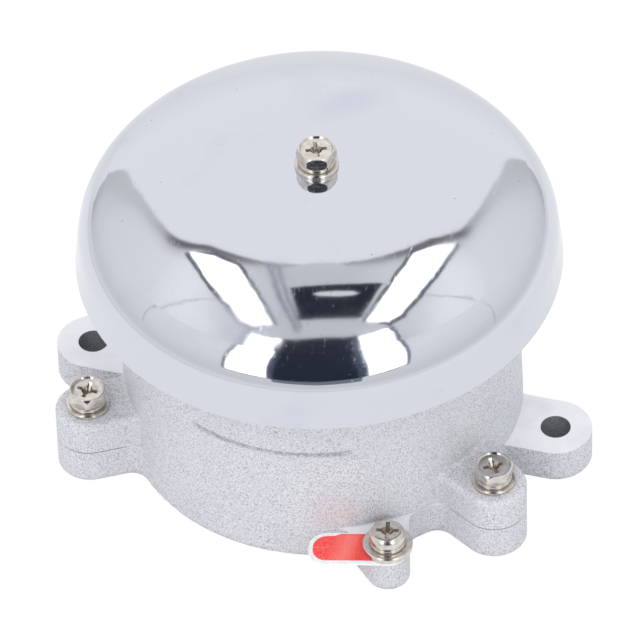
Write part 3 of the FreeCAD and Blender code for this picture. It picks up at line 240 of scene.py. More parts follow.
def nickel_plate():
    """Nickel plate on pressed steel screws and washers: warm grey metal, a little uneven, with painted
    shade, dull and brownish, in the driver's recess and in the gaps."""
    material, tree, place = new_finish("nickel_plated_steel")
    mottle = add(tree, "ShaderNodeTexNoise", {"Vector": place, "Scale": 1 / (1.4 * MM), "Detail": 4.0})
    fine = add(tree, "ShaderNodeTexNoise", {"Vector": place, "Scale": 1 / (0.25 * MM)})
    gap_occlusion = add(tree, "ShaderNodeAmbientOcclusion", {"Distance": 1.5 * MM}, samples=6).outputs["AO"]
    uneven = add(tree, "ShaderNodeMapRange", {"Value": mottle, "From Min": 0.35, "From Max": 0.65})
    colour = add(tree, "ShaderNodeMix", {0: uneven, 6: linear("#CFC8C1"), 7: linear("#E6E1DB")},
                 data_type="RGBA")
    # painted shade: dull and brownish where ambient occlusion finds the recess and the gaps
    clear = add(tree, "ShaderNodeMapRange", {"Value": gap_occlusion, "From Min": 0.25, "From Max": 0.68})
    colour = add(tree, "ShaderNodeMix", {0: clear, 6: linear("#8C7765"), 7: colour}, data_type="RGBA")
    mirror = add(tree, "ShaderNodeMapRange", {"Value": clear, "From Min": 0.0, "From Max": 1.0,
                                              "To Min": 0.25, "To Max": 1.0})
    rough = add(tree, "ShaderNodeMapRange", {"Value": mottle, "From Min": 0.3, "From Max": 0.7,
                                             "To Min": 0.16, "To Max": 0.28})
    bump = add(tree, "ShaderNodeBump", {"Height": fine, "Distance": 0.01 * MM, "Strength": 0.5})
    shader = add(tree, "ShaderNodeBsdfPrincipled", {"Base Color": colour, "Metallic": mirror,
                                                    "Roughness": rough, "Normal": bump})
    add(tree, "ShaderNodeOutputMaterial", {"Surface": shader})
    return material


def zinc_plate():
    """Bright zinc plate on stamped and turned steel: bluish grey with faint spangle."""
    material, tree, place = new_finish("zinc_plated_steel")
    spangle = add(tree, "ShaderNodeTexVoronoi", {"Vector": place, "Scale": 1 / (1.6 * MM)})
    wear = add(tree, "ShaderNodeTexNoise", {"Vector": place, "Scale": 1 / (3 * MM), "Detail": 4.0})
    worn = add(tree, "ShaderNodeMapRange", {"Value": wear, "From Min": 0.35, "From Max": 0.65})
    colour = add(tree, "ShaderNodeMix", {0: worn, 6: linear("#B4B8BC"), 7: linear("#CBCED0")},
                 data_type="RGBA")
    rough = add(tree, "ShaderNodeMapRange", {"Value": spangle, "From Min": 0.0, "From Max": 0.6,
                                             "To Min": 0.26, "To Max": 0.42})
    bump = add(tree, "ShaderNodeBump", {"Height": wear, "Distance": 0.02 * MM, "Strength": 0.4})
    shader = add(tree, "ShaderNodeBsdfPrincipled", {"Base Color": colour, "Metallic": 1.0,
                                                    "Roughness": rough, "Normal": bump})
    add(tree, "ShaderNodeOutputMaterial", {"Surface": shader})
    return material


def soft_iron():
    """Turned soft iron: dull grey with fine lathe rings along the striker's axis."""
    material, tree, place = new_finish("turned_soft_iron")
    rings = add(tree, "ShaderNodeTexWave", {"Vector": place, "Scale": 1 / (0.8 * MM), "Distortion": 0.4},
                wave_type="BANDS", bands_direction="Y").outputs[1]
    bloom = add(tree, "ShaderNodeTexNoise", {"Vector": place, "Scale": 1 / (2 * MM), "Detail": 4.0})
    oxide = add(tree, "ShaderNodeMapRange", {"Value": bloom, "From Min": 0.4, "From Max": 0.7})
    colour = add(tree, "ShaderNodeMix", {0: oxide, 6: linear("#7F8082"), 7: linear("#6B6864")},
                 data_type="RGBA")
    rough = add(tree, "ShaderNodeMapRange", {"Value": bloom, "From Min": 0.3, "From Max": 0.7,
                                             "To Min": 0.34, "To Max": 0.5})
    bump = add(tree, "ShaderNodeBump", {"Height": rings, "Distance": 0.01 * MM, "Strength": 0.4})
    shader = add(tree, "ShaderNodeBsdfPrincipled", {"Base Color": colour, "Metallic": 1.0,
                                                    "Roughness": rough, "Normal": bump})
    add(tree, "ShaderNodeOutputMaterial", {"Surface": shader})
    return material


def spring_steel():
    """Hard drawn spring wire: dark, slightly blued and uneven from the drawing."""
    material, tree, place = new_finish("drawn_spring_steel")
    tint = add(tree, "ShaderNodeTexNoise", {"Vector": place, "Scale": 1 / (1.2 * MM), "Detail": 3.0})
    blued = add(tree, "ShaderNodeMapRange", {"Value": tint, "From Min": 0.35, "From Max": 0.65})
    colour = add(tree, "ShaderNodeMix", {0: blued, 6: linear("#65686D"), 7: linear("#7D7F84")},
                 data_type="RGBA")
    rough = add(tree, "ShaderNodeMapRange", {"Value": tint, "From Min": 0.3, "From Max": 0.7,
                                             "To Min": 0.25, "To Max": 0.38})
    shader = add(tree, "ShaderNodeBsdfPrincipled", {"Base Color": colour, "Metallic": 1.0,
                                                    "Roughness": rough})
    add(tree, "ShaderNodeOutputMaterial", {"Surface": shader})
    return material


def enamelled_copper():
    """Enamelled copper wire wound in even layers: warm and glossy, one ridge for each turn, with painted
    shade in the grooves between them.
    """
    material, tree, place = new_finish("enamelled_copper_wire")
    # the real wire is 0.2 mm thick; turns are drawn 0.6 mm wide so that they show
    turns = add(tree, "ShaderNodeTexWave", {"Vector": place, "Scale": 0.314 / (0.6 * MM),
                                            "Distortion": 0.15}, wave_type="BANDS",
                bands_direction="Y").outputs[1]
    tone = add(tree, "ShaderNodeTexNoise", {"Vector": place, "Scale": 1 / (4 * MM)})
    paler = add(tree, "ShaderNodeMapRange", {"Value": tone, "From Min": 0.35, "From Max": 0.65})
    colour = add(tree, "ShaderNodeMix", {0: paler, 6: linear("#A9562A"), 7: linear("#C06A38")},
                 data_type="RGBA")
    # painted shade in the grooves between the turns
    unshaded_ridges = add(tree, "ShaderNodeMapRange", {"Value": turns, "From Min": 0.0, "From Max": 0.3})
    colour = add(tree, "ShaderNodeMix", {0: unshaded_ridges, 6: linear("#5E2A12"), 7: colour}, data_type="RGBA")
    bump = add(tree, "ShaderNodeBump", {"Height": turns, "Distance": 0.12 * MM, "Strength": 0.8})
    shader = add(tree, "ShaderNodeBsdfPrincipled", {"Base Color": colour, "Metallic": 0.7,
                                                    "Roughness": 0.3, "Coat Weight": 0.6, "Normal": bump})
    add(tree, "ShaderNodeOutputMaterial", {"Surface": shader})
    return material


def moulded_nylon():
    """Natural nylon mouldings: milky off-white with a soft sheen."""
    material, tree, place = new_finish("moulded_nylon")
    flow = add(tree, "ShaderNodeTexNoise", {"Vector": place, "Scale": 1 / (6 * MM)})
    skin = add(tree, "ShaderNodeTexNoise", {"Vector": place, "Scale": 1 / (0.3 * MM)})
    streaks = add(tree, "ShaderNodeMapRange", {"Value": flow, "From Min": 0.35, "From Max": 0.65})
    colour = add(tree, "ShaderNodeMix", {0: streaks, 6: linear("#E6E1D2"), 7: linear("#EFEBDF")},
                 data_type="RGBA")
    rough = add(tree, "ShaderNodeMapRange", {"Value": skin, "From Min": 0.3, "From Max": 0.7,
                                             "To Min": 0.38, "To Max": 0.48})
    bump = add(tree, "ShaderNodeBump", {"Height": skin, "Distance": 0.02 * MM, "Strength": 0.3})
    shader = add(tree, "ShaderNodeBsdfPrincipled", {"Base Color": colour, "Roughness": rough, "IOR": 1.53,
                                                    "Subsurface Weight": 0.15,
                                                    "Subsurface Scale": 1.5 * MM, "Normal": bump})
    add(tree, "ShaderNodeOutputMaterial", {"Surface": shader})
    return material


def moulded_rubber():
    """Black nitrile rubber: matt, with a trace of grey bloom."""
    material, tree, place = new_finish("moulded_black_rubber")
    bloom = add(tree, "ShaderNodeTexNoise", {"Vector": place, "Scale": 1 / (3 * MM), "Detail": 4.0})
    skin = add(tree, "ShaderNodeTexNoise", {"Vector": place, "Scale": 1 / (0.35 * MM)})
    greyed = add(tree, "ShaderNodeMapRange", {"Value": bloom, "From Min": 0.4, "From Max": 0.75})
    colour = add(tree, "ShaderNodeMix", {0: greyed, 6: linear("#1D1E20"), 7: linear("#34363A")},
                 data_type="RGBA")
    rough = add(tree, "ShaderNodeMapRange", {"Value": skin, "From Min": 0.3, "From Max": 0.7,
                                             "To Min": 0.55, "To Max": 0.75})
    bump = add(tree, "ShaderNodeBump", {"Height": skin, "Distance": 0.04 * MM, "Strength": 0.5})
    shader = add(tree, "ShaderNodeBsdfPrincipled", {"Base Color": colour, "Roughness": rough,
                                                    "Normal": bump})
    add(tree, "ShaderNodeOutputMaterial", {"Surface": shader})
    return material


def turned_brass():
    """Free-cutting brass inserts, slightly dulled."""
    material, tree, place = new_finish("turned_brass")
    dull = add(tree, "ShaderNodeTexNoise", {"Vector": place, "Scale": 1 / (1.5 * MM), "Detail": 3.0})
    tarnish = add(tree, "ShaderNodeMapRange", {"Value": dull, "From Min": 0.35, "From Max": 0.7})
    colour = add(tree, "ShaderNodeMix", {0: tarnish, 6: linear("#D9B765"), 7: linear("#B08C45")},
                 data_type="RGBA")
    rough = add(tree, "ShaderNodeMapRange", {"Value": dull, "From Min": 0.3, "From Max": 0.7,
                                             "To Min": 0.22, "To Max": 0.4})
    shader = add(tree, "ShaderNodeBsdfPrincipled", {"Base Color": colour, "Metallic": 1.0,
                                                    "Roughness": rough})
    add(tree, "ShaderNodeOutputMaterial", {"Surface": shader})
    return material


def wire_insulation():
    """Extruded PVC wire insulation, dark grey and satin."""
    material, tree, place = new_finish("pvc_wire_insulation")
    skin = add(tree, "ShaderNodeTexNoise", {"Vector": place, "Scale": 1 / (0.5 * MM)})
    paler = add(tree, "ShaderNodeMapRange", {"Value": skin, "From Min": 0.35, "From Max": 0.7})
    colour = add(tree, "ShaderNodeMix", {0: paler, 6: linear("#2B2C31"), 7: linear("#3A3B41")},
                 data_type="RGBA")
    bump = add(tree, "ShaderNodeBump", {"Height": skin, "Distance": 0.02 * MM, "Strength": 0.3})
    shader = add(tree, "ShaderNodeBsdfPrincipled", {"Base Color": colour, "Roughness": 0.42, "Normal": bump})
    add(tree, "ShaderNodeOutputMaterial", {"Surface": shader})
    return material


def red_film():
    """Red printed film on the tag: glossy and slightly creased, a painted highlight where it bows in the
    middle, painted shade beside the screw, and painted glints on tiny flecks, strongest towards its free
    end."""
    material, tree, place = new_finish("red_printed_film")
    # the real flecks are about 0.05 mm; they are drawn 0.2 mm wide so that they show
    flecks = add(tree, "ShaderNodeTexNoise", {"Vector": place, "Scale": 1 / (0.24 * MM)})
    crease = add(tree, "ShaderNodeTexNoise", {"Vector": place, "Scale": 1 / (3.2 * MM)})
    # along x, the tag runs from its free end at about 9 mm to its screw at about 25 mm
    aside_place = add(tree, "ShaderNodeSeparateXYZ", {0: place}).outputs[0]
    ink = add(tree, "ShaderNodeMapRange", {"Value": flecks, "From Min": 0.35, "From Max": 0.65})
    colour = add(tree, "ShaderNodeMix", {0: ink, 6: linear("#FF322D"), 7: linear("#FF655B")},
                 data_type="RGBA")
    from_bow = add(tree, "ShaderNodeMath", {0: aside_place, 1: 17 * MM}, operation="SUBTRACT")
    from_bow = add(tree, "ShaderNodeMath", {0: from_bow}, operation="ABSOLUTE")
    bow_highlight = add(tree, "ShaderNodeMapRange", {"Value": from_bow, "From Min": 0.4 * MM, "From Max": 3.2 * MM,
                                           "To Min": 0.45, "To Max": 0.0})
    # painted highlight where the film bows in the middle
    colour = add(tree, "ShaderNodeMix", {0: bow_highlight, 6: colour, 7: linear("#FF9A90")}, data_type="RGBA")
    screw_shade = add(tree, "ShaderNodeMapRange", {"Value": aside_place, "From Min": 18.5 * MM,
                                                "From Max": 20.5 * MM, "To Max": 0.5})
    # painted shade beside the screw
    colour = add(tree, "ShaderNodeMix", {0: screw_shade, 6: colour, 7: linear("#DE3C38")}, data_type="RGBA")
    fleck_glints = add(tree, "ShaderNodeMapRange", {"Value": flecks, "From Min": 0.61, "From Max": 0.68,
                                                     "To Max": 0.8})
    free_end = add(tree, "ShaderNodeMapRange", {"Value": aside_place, "From Min": 13 * MM,
                                                "From Max": 17 * MM, "To Min": 1.0, "To Max": 0.15})
    painted_glints = add(tree, "ShaderNodeMath", {0: fleck_glints, 1: free_end}, operation="MULTIPLY")
    # painted glints on the flecks, strongest towards the free end
    colour = add(tree, "ShaderNodeMix", {0: painted_glints, 6: colour, 7: linear("#FFC0B8")}, data_type="RGBA")
    rough = add(tree, "ShaderNodeMapRange", {"Value": flecks, "From Min": 0.3, "From Max": 0.7,
                                             "To Min": 0.28, "To Max": 0.45})
    bump = add(tree, "ShaderNodeBump", {"Height": crease, "Distance": 0.25 * MM, "Strength": 0.4})
    shader = add(tree, "ShaderNodeBsdfPrincipled", {"Base Color": colour, "Roughness": rough,
                                                    "Coat Weight": 0.15, "Normal": bump})
    add(tree, "ShaderNodeOutputMaterial", {"Surface": shader})
    return material


def white_film():
    """The tag's unprinted white film, with a faint dust of grey."""
    material, tree, place = new_finish("white_film")
    dust = add(tree, "ShaderNodeTexNoise", {"Vector": place, "Scale": 1 / (0.5 * MM), "Detail": 3.0})
    greyed = add(tree, "ShaderNodeMapRange", {"Value": dust, "From Min": 0.5, "From Max": 0.75})
    colour = add(tree, "ShaderNodeMix", {0: greyed, 6: linear("#F6F6F7"), 7: linear("#DEDEE2")},
                 data_type="RGBA")
    bump = add(tree, "ShaderNodeBump", {"Height": dust, "Distance": 0.02 * MM, "Strength": 0.3})
    shader = add(tree, "ShaderNodeBsdfPrincipled", {"Base Color": colour, "Roughness": 0.4, "Normal": bump})
    add(tree, "ShaderNodeOutputMaterial", {"Surface": shader})
    return material


LEDGE_HEIGHT, LEDGE_HALF_WIDTH, LEDGE_FRONT = 30.5 * MM, 17.6 * MM, -30 * MM
LUG_PITCH, LUG_BORE_RADIUS = 50 * MM, 3.1 * MM
casting_paint = silver_casting_paint("silver_paint_on_housing",
                                     ledge=(LEDGE_HEIGHT, LEDGE_HALF_WIDTH, LEDGE_FRONT))
base_paint = silver_casting_paint("silver_paint_on_base", ground_height=PARTING,
                                  shaded_bores=(LUG_PITCH, LUG_BORE_RADIUS))
set_finish(base_paint, "base_plate")
set_finish(casting_paint, "housing")
set_finish(bright_chrome(), "gong")
nickel = nickel_plate()
set_finish(nickel, "gong_washer", "gong_lock_washer", "gong_screw", "cover_washers",
           "cover_lock_washers", "cover_screws", "earth_washer", "earth_lock_washer", "earth_screw",
           "yoke_lock_washers", "yoke_screws", "terminal_clamp_screws", "terminal_block_screws")
set_finish(zinc_plate(), "gong_post", "solenoid_yoke", "yoke_keeper", "striker_rod", "spring_collar")
set_finish(soft_iron(), "plunger")
set_finish(spring_steel(), "return_spring")
set_finish(enamelled_copper(), "coil_winding")
set_finish(moulded_nylon(), "bobbin", "striker_tip", "guide_bush", "terminal_block")
set_finish(moulded_rubber(), "rear_buffer", "cable_grommet")
set_finish(turned_brass(), "terminal_inserts")
set_finish(wire_insulation(), "coil_leads")
set_finish(red_film(), "earth_tag")


# ---- modelling helpers ----

# a distance that parts nothing: faces and edges this close to a plane are taken as on it
TOUCH = 0.001 * MM
# faces that meet at more than this stay sharp
SHARP = math.radians(32)


def select_only(thing):
    """Select one piece and make it the active one."""
    bpy.ops.object.select_all(action="DESELECT")
    thing.select_set(True)
    bpy.context.view_layer.objects.active = thing


def pick(thing, kind, test):
    """Select, in edit mode, the verts, edges or faces whose middle passes the test."""
    bpy.ops.mesh.select_mode(type=kind)
    bpy.ops.mesh.select_all(action="DESELECT")
    mesh = bmesh.from_edit_mesh(thing.data)
    for part in {"VERT": mesh.verts, "EDGE": mesh.edges, "FACE": mesh.faces}[kind]:
        if test(part.co if kind == "VERT" else part.calc_center_median()):
            part.select = True
    mesh.select_flush(True)
    bmesh.update_edit_mesh(thing.data)


def apply_modifier(thing, kind, **settings):
    """Put a modifier on a piece and apply it at once."""
    modifier = thing.modifiers.new(kind.lower(), kind)
    for name, value in settings.items():
        setattr(modifier, name, value)
    bpy.context.view_layer.objects.active = thing
    bpy.ops.object.modifier_apply(modifier=modifier.name)


def cut(thing, punch):
    """Take a punch's solid out of a piece."""
    apply_modifier(thing, "BOOLEAN", object=punch, operation="DIFFERENCE", solver="EXACT")


def copy_of(thing):
    """A copy with its own mesh."""
    twin = thing.copy()
    twin.data = thing.data.copy()
    bpy.context.scene.collection.objects.link(twin)
    return twin


def settle(thing, place=(0, 0, 0), turn=0.0):
    """Turn and move a piece, and keep its place in its mesh."""
    thing.rotation_euler = (0, 0, math.radians(turn))
    thing.location = place
    select_only(thing)
    bpy.ops.object.transform_apply(location=True, rotation=True, scale=True)


def slice_off(place, normal):
    """Cut away, in edit mode, what lies beyond a plane, and close the cut."""
    bpy.ops.mesh.select_all(action="SELECT")
    bpy.ops.mesh.bisect(plane_co=place, plane_no=normal, use_fill=True, clear_outer=True,
                        threshold=TOUCH)


def join_as(name, pieces, node, material):
    """One piece out of several, which stands for a node of the bell's fixed body."""
    select_only(pieces[0])
    for piece in pieces[1:]:
        piece.select_set(True)
    if len(pieces) > 1:
        bpy.ops.object.join()
    whole = pieces[0]
    whole.name = name
    whole.data.materials.clear()
    whole.data.materials.append(material)
    bpy.ops.object.shade_smooth_by_angle(angle=SHARP)
    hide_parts(node)
    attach(whole, "bell_body")
    bpy.ops.object.select_all(action="DESELECT")


# ---- cold-headed screws and spring washers ----

HEAD_HEIGHT, HEAD_BULGE, HEAD_FLAT, HEAD_EDGE = 2.99 * MM, 4.26 * MM, 3.6 * MM, 0.09 * MM
CROWN_RADIUS, DISH_RADIUS, DISH_FLOOR, DISH_DEPTH = 3.64 * MM, 3.40 * MM, 3.18 * MM, 0.42 * MM
PAN_RADIUS, PAN_HEIGHT, PAN_DOME, PAN_FOOT = 3.75 * MM, 2.5 * MM, 1.45 * MM, 0.3 * MM
CROSS_LENGTH, CROSS_WIDTH, CROSS_HEIGHT, CROSS_TAPER = 5.3 * MM, 0.9 * MM, 2.0 * MM, (0.35, 0.7, 1)
CROSS_MIDDLE, CROSS_DEPTH = -0.5 * MM, 1.5 * MM
CONE_TIP, CONE_TOP = 0.5 * MM, 1.5 * MM
SHANK_RADIUS, SHANK_OVERLAP = 2.0 * MM, 0.3 * MM
LOCK_RADIUS, LOCK_HEIGHT, LOCK_HOLE, LOCK_EDGE = 3.72 * MM, 1.0 * MM, 2.25 * MM, 0.2 * MM
LOCK_SPLIT, SPLIT_LEAN, SAW_LENGTH, SAW_INSET = 0.26 * MM, 20, 3 * MM, 0.5 * MM
TAB_PITCH, TAB_TURNS = 50 * MM, (90, 210, -30)

# where each screw, its cross and its washer's split came to rest when it was tightened, in degrees
GONG_TURN, GONG_CROSS, GONG_SPLIT, GONG_SHANK = 47, 25, 50, 8 * MM
COVER_TURNS, COVER_CROSSES, COVER_SPLITS, COVER_SHANK = (10, 17, 56), (50, -4, 33), (0, 200, 120), 16 * MM
EARTH_TURN, EARTH_CROSS, EARTH_SPLIT, EARTH_SHANK = 0, 12, -60, 8 * MM
EARTH_CROSS_DROP = 0.15 * MM


def model_cross_punch():
    """What the cross driver leaves: two tapering blades round a blunt cone, its top at z = 0."""
    blades = []
    for turn in (0, 90):
        bpy.ops.mesh.primitive_cube_add(size=1, location=(0, 0, CROSS_MIDDLE))
        blade = bpy.context.object
        blade.scale = (CROSS_LENGTH, CROSS_WIDTH, CROSS_HEIGHT)
        settle(blade, (0, 0, CROSS_MIDDLE))
        bpy.ops.object.mode_set(mode="EDIT")
        pick(blade, "VERT", lambda co: co.z < CROSS_MIDDLE)
        bpy.ops.transform.resize(value=CROSS_TAPER, center_override=(0, 0, -CROSS_DEPTH))
        bpy.ops.object.mode_set(mode="OBJECT")
        settle(blade, turn=turn)
        blades.append(blade)
    bpy.ops.mesh.primitive_cone_add(vertices=32, radius1=CONE_TIP, radius2=CONE_TOP, depth=CROSS_HEIGHT,
                                    location=(0, 0, CROSS_MIDDLE))
    cone = bpy.context.object
    settle(cone, (0, 0, CROSS_MIDDLE))
    return blades + [cone]


def model_hex_head():
    """A barrel trimmed to six flats, with a thin rim round a dished top."""
    rise = HEAD_HEIGHT / 2 / math.sqrt(1 - (CROWN_RADIUS / HEAD_BULGE) ** 2)
    bpy.ops.mesh.primitive_uv_sphere_add(segments=72, ring_count=36, radius=1)
    head = bpy.context.object
    head.scale = (HEAD_BULGE, HEAD_BULGE, rise)
    settle(head, (0, 0, HEAD_HEIGHT / 2))
    bpy.ops.object.mode_set(mode="EDIT")
    slice_off((0, 0, 0), (0, 0, -1))
    slice_off((0, 0, HEAD_HEIGHT), (0, 0, 1))
    for side in range(6):
        outward = Vector((math.cos(math.radians(60 * side)), math.sin(math.radians(60 * side)), 0))
        slice_off(outward * HEAD_FLAT, outward)
    pick(head, "FACE", lambda co: co.z > HEAD_HEIGHT - TOUCH)
    bpy.ops.mesh.inset(thickness=CROWN_RADIUS - DISH_RADIUS)
    bpy.ops.mesh.inset(thickness=DISH_RADIUS - DISH_FLOOR, depth=-DISH_DEPTH)
    bpy.ops.object.mode_set(mode="OBJECT")
    apply_modifier(head, "BEVEL", width=HEAD_EDGE, segments=2, limit_method="ANGLE",
                   angle_limit=SHARP)
    return head


def model_pan_head():
    """A round head with a domed edge."""
    bpy.ops.mesh.primitive_cylinder_add(vertices=72, radius=PAN_RADIUS, depth=PAN_HEIGHT)
    head = bpy.context.object
    settle(head, (0, 0, PAN_HEIGHT / 2))
    bpy.ops.object.mode_set(mode="EDIT")
    pick(head, "FACE", lambda co: co.z > PAN_HEIGHT - TOUCH)
    bpy.ops.mesh.bevel(offset=PAN_DOME, segments=9, affect="EDGES")
    pick(head, "FACE", lambda co: co.z < TOUCH)
    bpy.ops.mesh.bevel(offset=PAN_FOOT, segments=3, affect="EDGES")
    bpy.ops.object.mode_set(mode="OBJECT")
    return head


def model_screw(head, punches, cross_top, shank_length, turn, cross_turn, seat):
    """A head turned to its place, cut with the cross, on a plain shank, standing on its seat."""
    screw = copy_of(head)
    settle(screw, turn=turn)
    for punch in punches:
        tool = copy_of(punch)
        settle(tool, (0, 0, cross_top), cross_turn)
        cut(screw, tool)
        bpy.data.objects.remove(tool)
    bpy.ops.mesh.primitive_cylinder_add(vertices=32, radius=SHANK_RADIUS, depth=shank_length + SHANK_OVERLAP)
    shank = bpy.context.object
    settle(shank, (0, 0, (SHANK_OVERLAP - shank_length) / 2))
    select_only(screw)
    shank.select_set(True)
    bpy.ops.object.join()
    settle(screw, seat)
    return screw


def model_spring_washer():
    """A thick ring with rounded edges and a narrow slanting split towards -Y."""
    bpy.ops.mesh.primitive_cylinder_add(vertices=96, radius=LOCK_RADIUS, depth=LOCK_HEIGHT)
    ring = bpy.context.object
    settle(ring, (0, 0, LOCK_HEIGHT / 2))
    bpy.ops.mesh.primitive_cylinder_add(vertices=64, radius=LOCK_HOLE, depth=4 * LOCK_HEIGHT)
    hole = bpy.context.object
    cut(ring, hole)
    bpy.data.objects.remove(hole)
    apply_modifier(ring, "BEVEL", width=LOCK_EDGE, segments=3, limit_method="ANGLE",
                   angle_limit=math.radians(40))
    bpy.ops.mesh.primitive_cube_add(size=1)
    saw = bpy.context.object
    saw.scale = (LOCK_SPLIT, SAW_LENGTH, SAW_LENGTH)
    saw.rotation_euler = (0, math.radians(SPLIT_LEAN), 0)
    saw.location = (0, SAW_INSET - LOCK_RADIUS, LOCK_HEIGHT / 2)
    select_only(saw)
    bpy.ops.object.transform_apply(location=True, rotation=True, scale=True)
    cut(ring, saw)
    bpy.data.objects.remove(saw)
    return ring


def seat_on(node):
    """The height of a node's top, where a screw's head stands."""
    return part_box(node)[1].z


def make_fasteners():
    hex_head, pan_head, ring = model_hex_head(), model_pan_head(), model_spring_washer()
    punches = model_cross_punch()
    dish_floor = HEAD_HEIGHT - DISH_DEPTH
    gong_seat, cover_seat, earth_seat = (seat_on(node) for node in (
        "gong_lock_washer", "cover_lock_washers", "earth_lock_washer"))
    low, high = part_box("earth_screw")
    earth_x, earth_y = (low.x + high.x) / 2, (low.y + high.y) / 2
    tabs = [(TAB_PITCH * math.cos(math.radians(turn)), TAB_PITCH * math.sin(math.radians(turn)))
            for turn in TAB_TURNS]

    screw = model_screw(hex_head, punches, dish_floor, GONG_SHANK, GONG_TURN, GONG_CROSS, (0, 0, gong_seat))
    join_as("gong_screw_cold_headed", [screw], "gong_screw", nickel)
    lock = copy_of(ring)
    settle(lock, (0, 0, gong_seat - LOCK_HEIGHT), GONG_SPLIT)
    join_as("gong_spring_washer", [lock], "gong_lock_washer", nickel)

    screws, locks = [], []
    for (x, y), turn, cross_turn, split in zip(tabs, COVER_TURNS, COVER_CROSSES, COVER_SPLITS):
        screws.append(model_screw(hex_head, punches, dish_floor, COVER_SHANK, turn, cross_turn,
                                  (x, y, cover_seat)))
        lock = copy_of(ring)
        settle(lock, (x, y, cover_seat - LOCK_HEIGHT), split)
        locks.append(lock)
    join_as("cover_screws_cold_headed", screws, "cover_screws", nickel)
    join_as("cover_spring_washers", locks, "cover_lock_washers", nickel)

    screw = model_screw(pan_head, punches, PAN_HEIGHT - EARTH_CROSS_DROP, EARTH_SHANK, EARTH_TURN,
                        EARTH_CROSS, (earth_x, earth_y, earth_seat))
    join_as("earth_screw_cold_headed", [screw], "earth_screw", nickel)
    lock = copy_of(ring)
    settle(lock, (earth_x, earth_y, earth_seat - LOCK_HEIGHT), EARTH_SPLIT)
    join_as("earth_spring_washer", [lock], "earth_lock_washer", nickel)
    for model in [hex_head, pan_head, ring] + punches:
        bpy.data.objects.remove(model)


make_fasteners()


# ---- the return spring, a coil between its seat and its collar ----

SPRING_WIRE, SPRING_TURNS, STRIKE_TRAVEL = 0.35 * MM, 7, 2.3 * MM


def make_spring():
    """A coil of round wire between the spring's seat and its collar. SPRING_WIRE is the wire's radius."""
    low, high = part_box("return_spring")
    middle, length = (low + high) / 2, high.y - low.y
    coil_radius = (high.x - low.x) / 2 - SPRING_WIRE
    bpy.ops.mesh.primitive_circle_add(vertices=12, radius=SPRING_WIRE, location=(coil_radius, 0, 0))
    spring = bpy.context.object
    settle(spring, (coil_radius, SPRING_WIRE, 0))
    apply_modifier(spring, "SCREW", axis="Y", angle=2 * math.pi, iterations=SPRING_TURNS, steps=40,
                   render_steps=40, screw_offset=(length - 2 * SPRING_WIRE) / SPRING_TURNS)
    bpy.ops.object.mode_set(mode="EDIT")
    bpy.ops.mesh.select_all(action="SELECT")
    bpy.ops.mesh.remove_doubles(threshold=TOUCH)
    bpy.ops.mesh.fill_holes(sides=0)
    bpy.ops.mesh.select_all(action="SELECT")
    bpy.ops.mesh.normals_make_consistent(inside=False)
    bpy.ops.object.mode_set(mode="OBJECT")
    settle(spring, (middle.x, low.y, middle.z))
    join_as("return_spring_coiled", [spring], "return_spring",
            nodes["return_spring"].data.materials[0])
    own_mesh(spring)


make_spring()


# ---- the earth tag: a strip of film, printed red inside a white border, that droops a little ----

TAG_WIDTH, TAG_LENGTH, TAG_CORNER, TAG_OFFSET = 8.6 * MM, 16.2 * MM, 3.9 * MM, 0.9 * MM
TAG_BORDER, TAG_HOLE, TAG_TURN = 0.9 * MM, 2.25 * MM, 192
PRINT_RUN_OUT, PRINT_RUN_END = 0.65 * MM, 10 * MM
DROOP_STATIONS = (5.0 * MM, 6.5 * MM, 8.0 * MM, 9.5 * MM, 11.0 * MM, 12.5 * MM, 14.0 * MM)
DROOP_STEP = 0.05 * MM
NEAR = 0.01 * MM


def make_tag():
    low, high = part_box("earth_tag")
    half = TAG_WIDTH / 2
    bpy.ops.mesh.primitive_plane_add(size=1, location=((TAG_LENGTH - half) / 2, TAG_OFFSET, 0))
    tag = bpy.context.object
    tag.name = "earth_tag_film"
    tag.scale = (TAG_LENGTH + half, TAG_WIDTH, 1)
    settle(tag, tag.location.copy())
    tag.data.materials.append(white_film())
    tag.data.materials.append(nodes["earth_tag"].data.materials[0])
    bpy.ops.object.mode_set(mode="EDIT")
    pick(tag, "VERT", lambda co: co.x < 0)
    # a hair under half the width, so that the two corners of the round end don't meet
    bpy.ops.mesh.bevel(affect="VERTICES", offset=0.99 * half, segments=16)
    pick(tag, "VERT", lambda co: co.x > TAG_LENGTH - NEAR)
    bpy.ops.mesh.bevel(affect="VERTICES", offset=TAG_CORNER, segments=14)
    bpy.ops.mesh.select_all(action="SELECT")
    bpy.ops.mesh.inset(thickness=TAG_BORDER)
    tag.active_material_index = 1
    bpy.ops.object.material_slot_assign()
    for station in DROOP_STATIONS:
        bpy.ops.mesh.select_all(action="SELECT")
        bpy.ops.mesh.bisect(plane_co=(station, 0, 0), plane_no=(1, 0, 0))
    # the print runs out to the inner edge near the screw
    inner_low = TAG_OFFSET - half + TAG_BORDER
    pick(tag, "VERT", lambda co: abs(co.y - inner_low) < NEAR and co.x < PRINT_RUN_END)
    bpy.ops.transform.translate(value=(0, -PRINT_RUN_OUT, 0))
    for station in DROOP_STATIONS:
        pick(tag, "VERT", lambda co: co.x > station + NEAR)
        bpy.ops.transform.translate(value=(0, 0, -DROOP_STEP))
    bpy.ops.object.mode_set(mode="OBJECT")
    apply_modifier(tag, "SOLIDIFY", thickness=high.z - low.z, offset=-1)
    bpy.ops.mesh.primitive_cylinder_add(vertices=48, radius=TAG_HOLE, depth=4 * MM, location=(0, 0, 0))
    punch = bpy.context.object
    cut(tag, punch)
    bpy.data.objects.remove(punch)
    washer_low, washer_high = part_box("earth_washer")
    settle(tag, ((washer_low.x + washer_high.x) / 2, (washer_low.y + washer_high.y) / 2, high.z), TAG_TURN)
    bpy.ops.object.shade_smooth_by_angle(angle=math.radians(30))
    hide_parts("earth_tag")
    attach(tag, "bell_body")
    bpy.ops.object.select_all(action="DESELECT")


make_tag()


# ---- camera: it looks down on the bell from the front, a little from the left ----

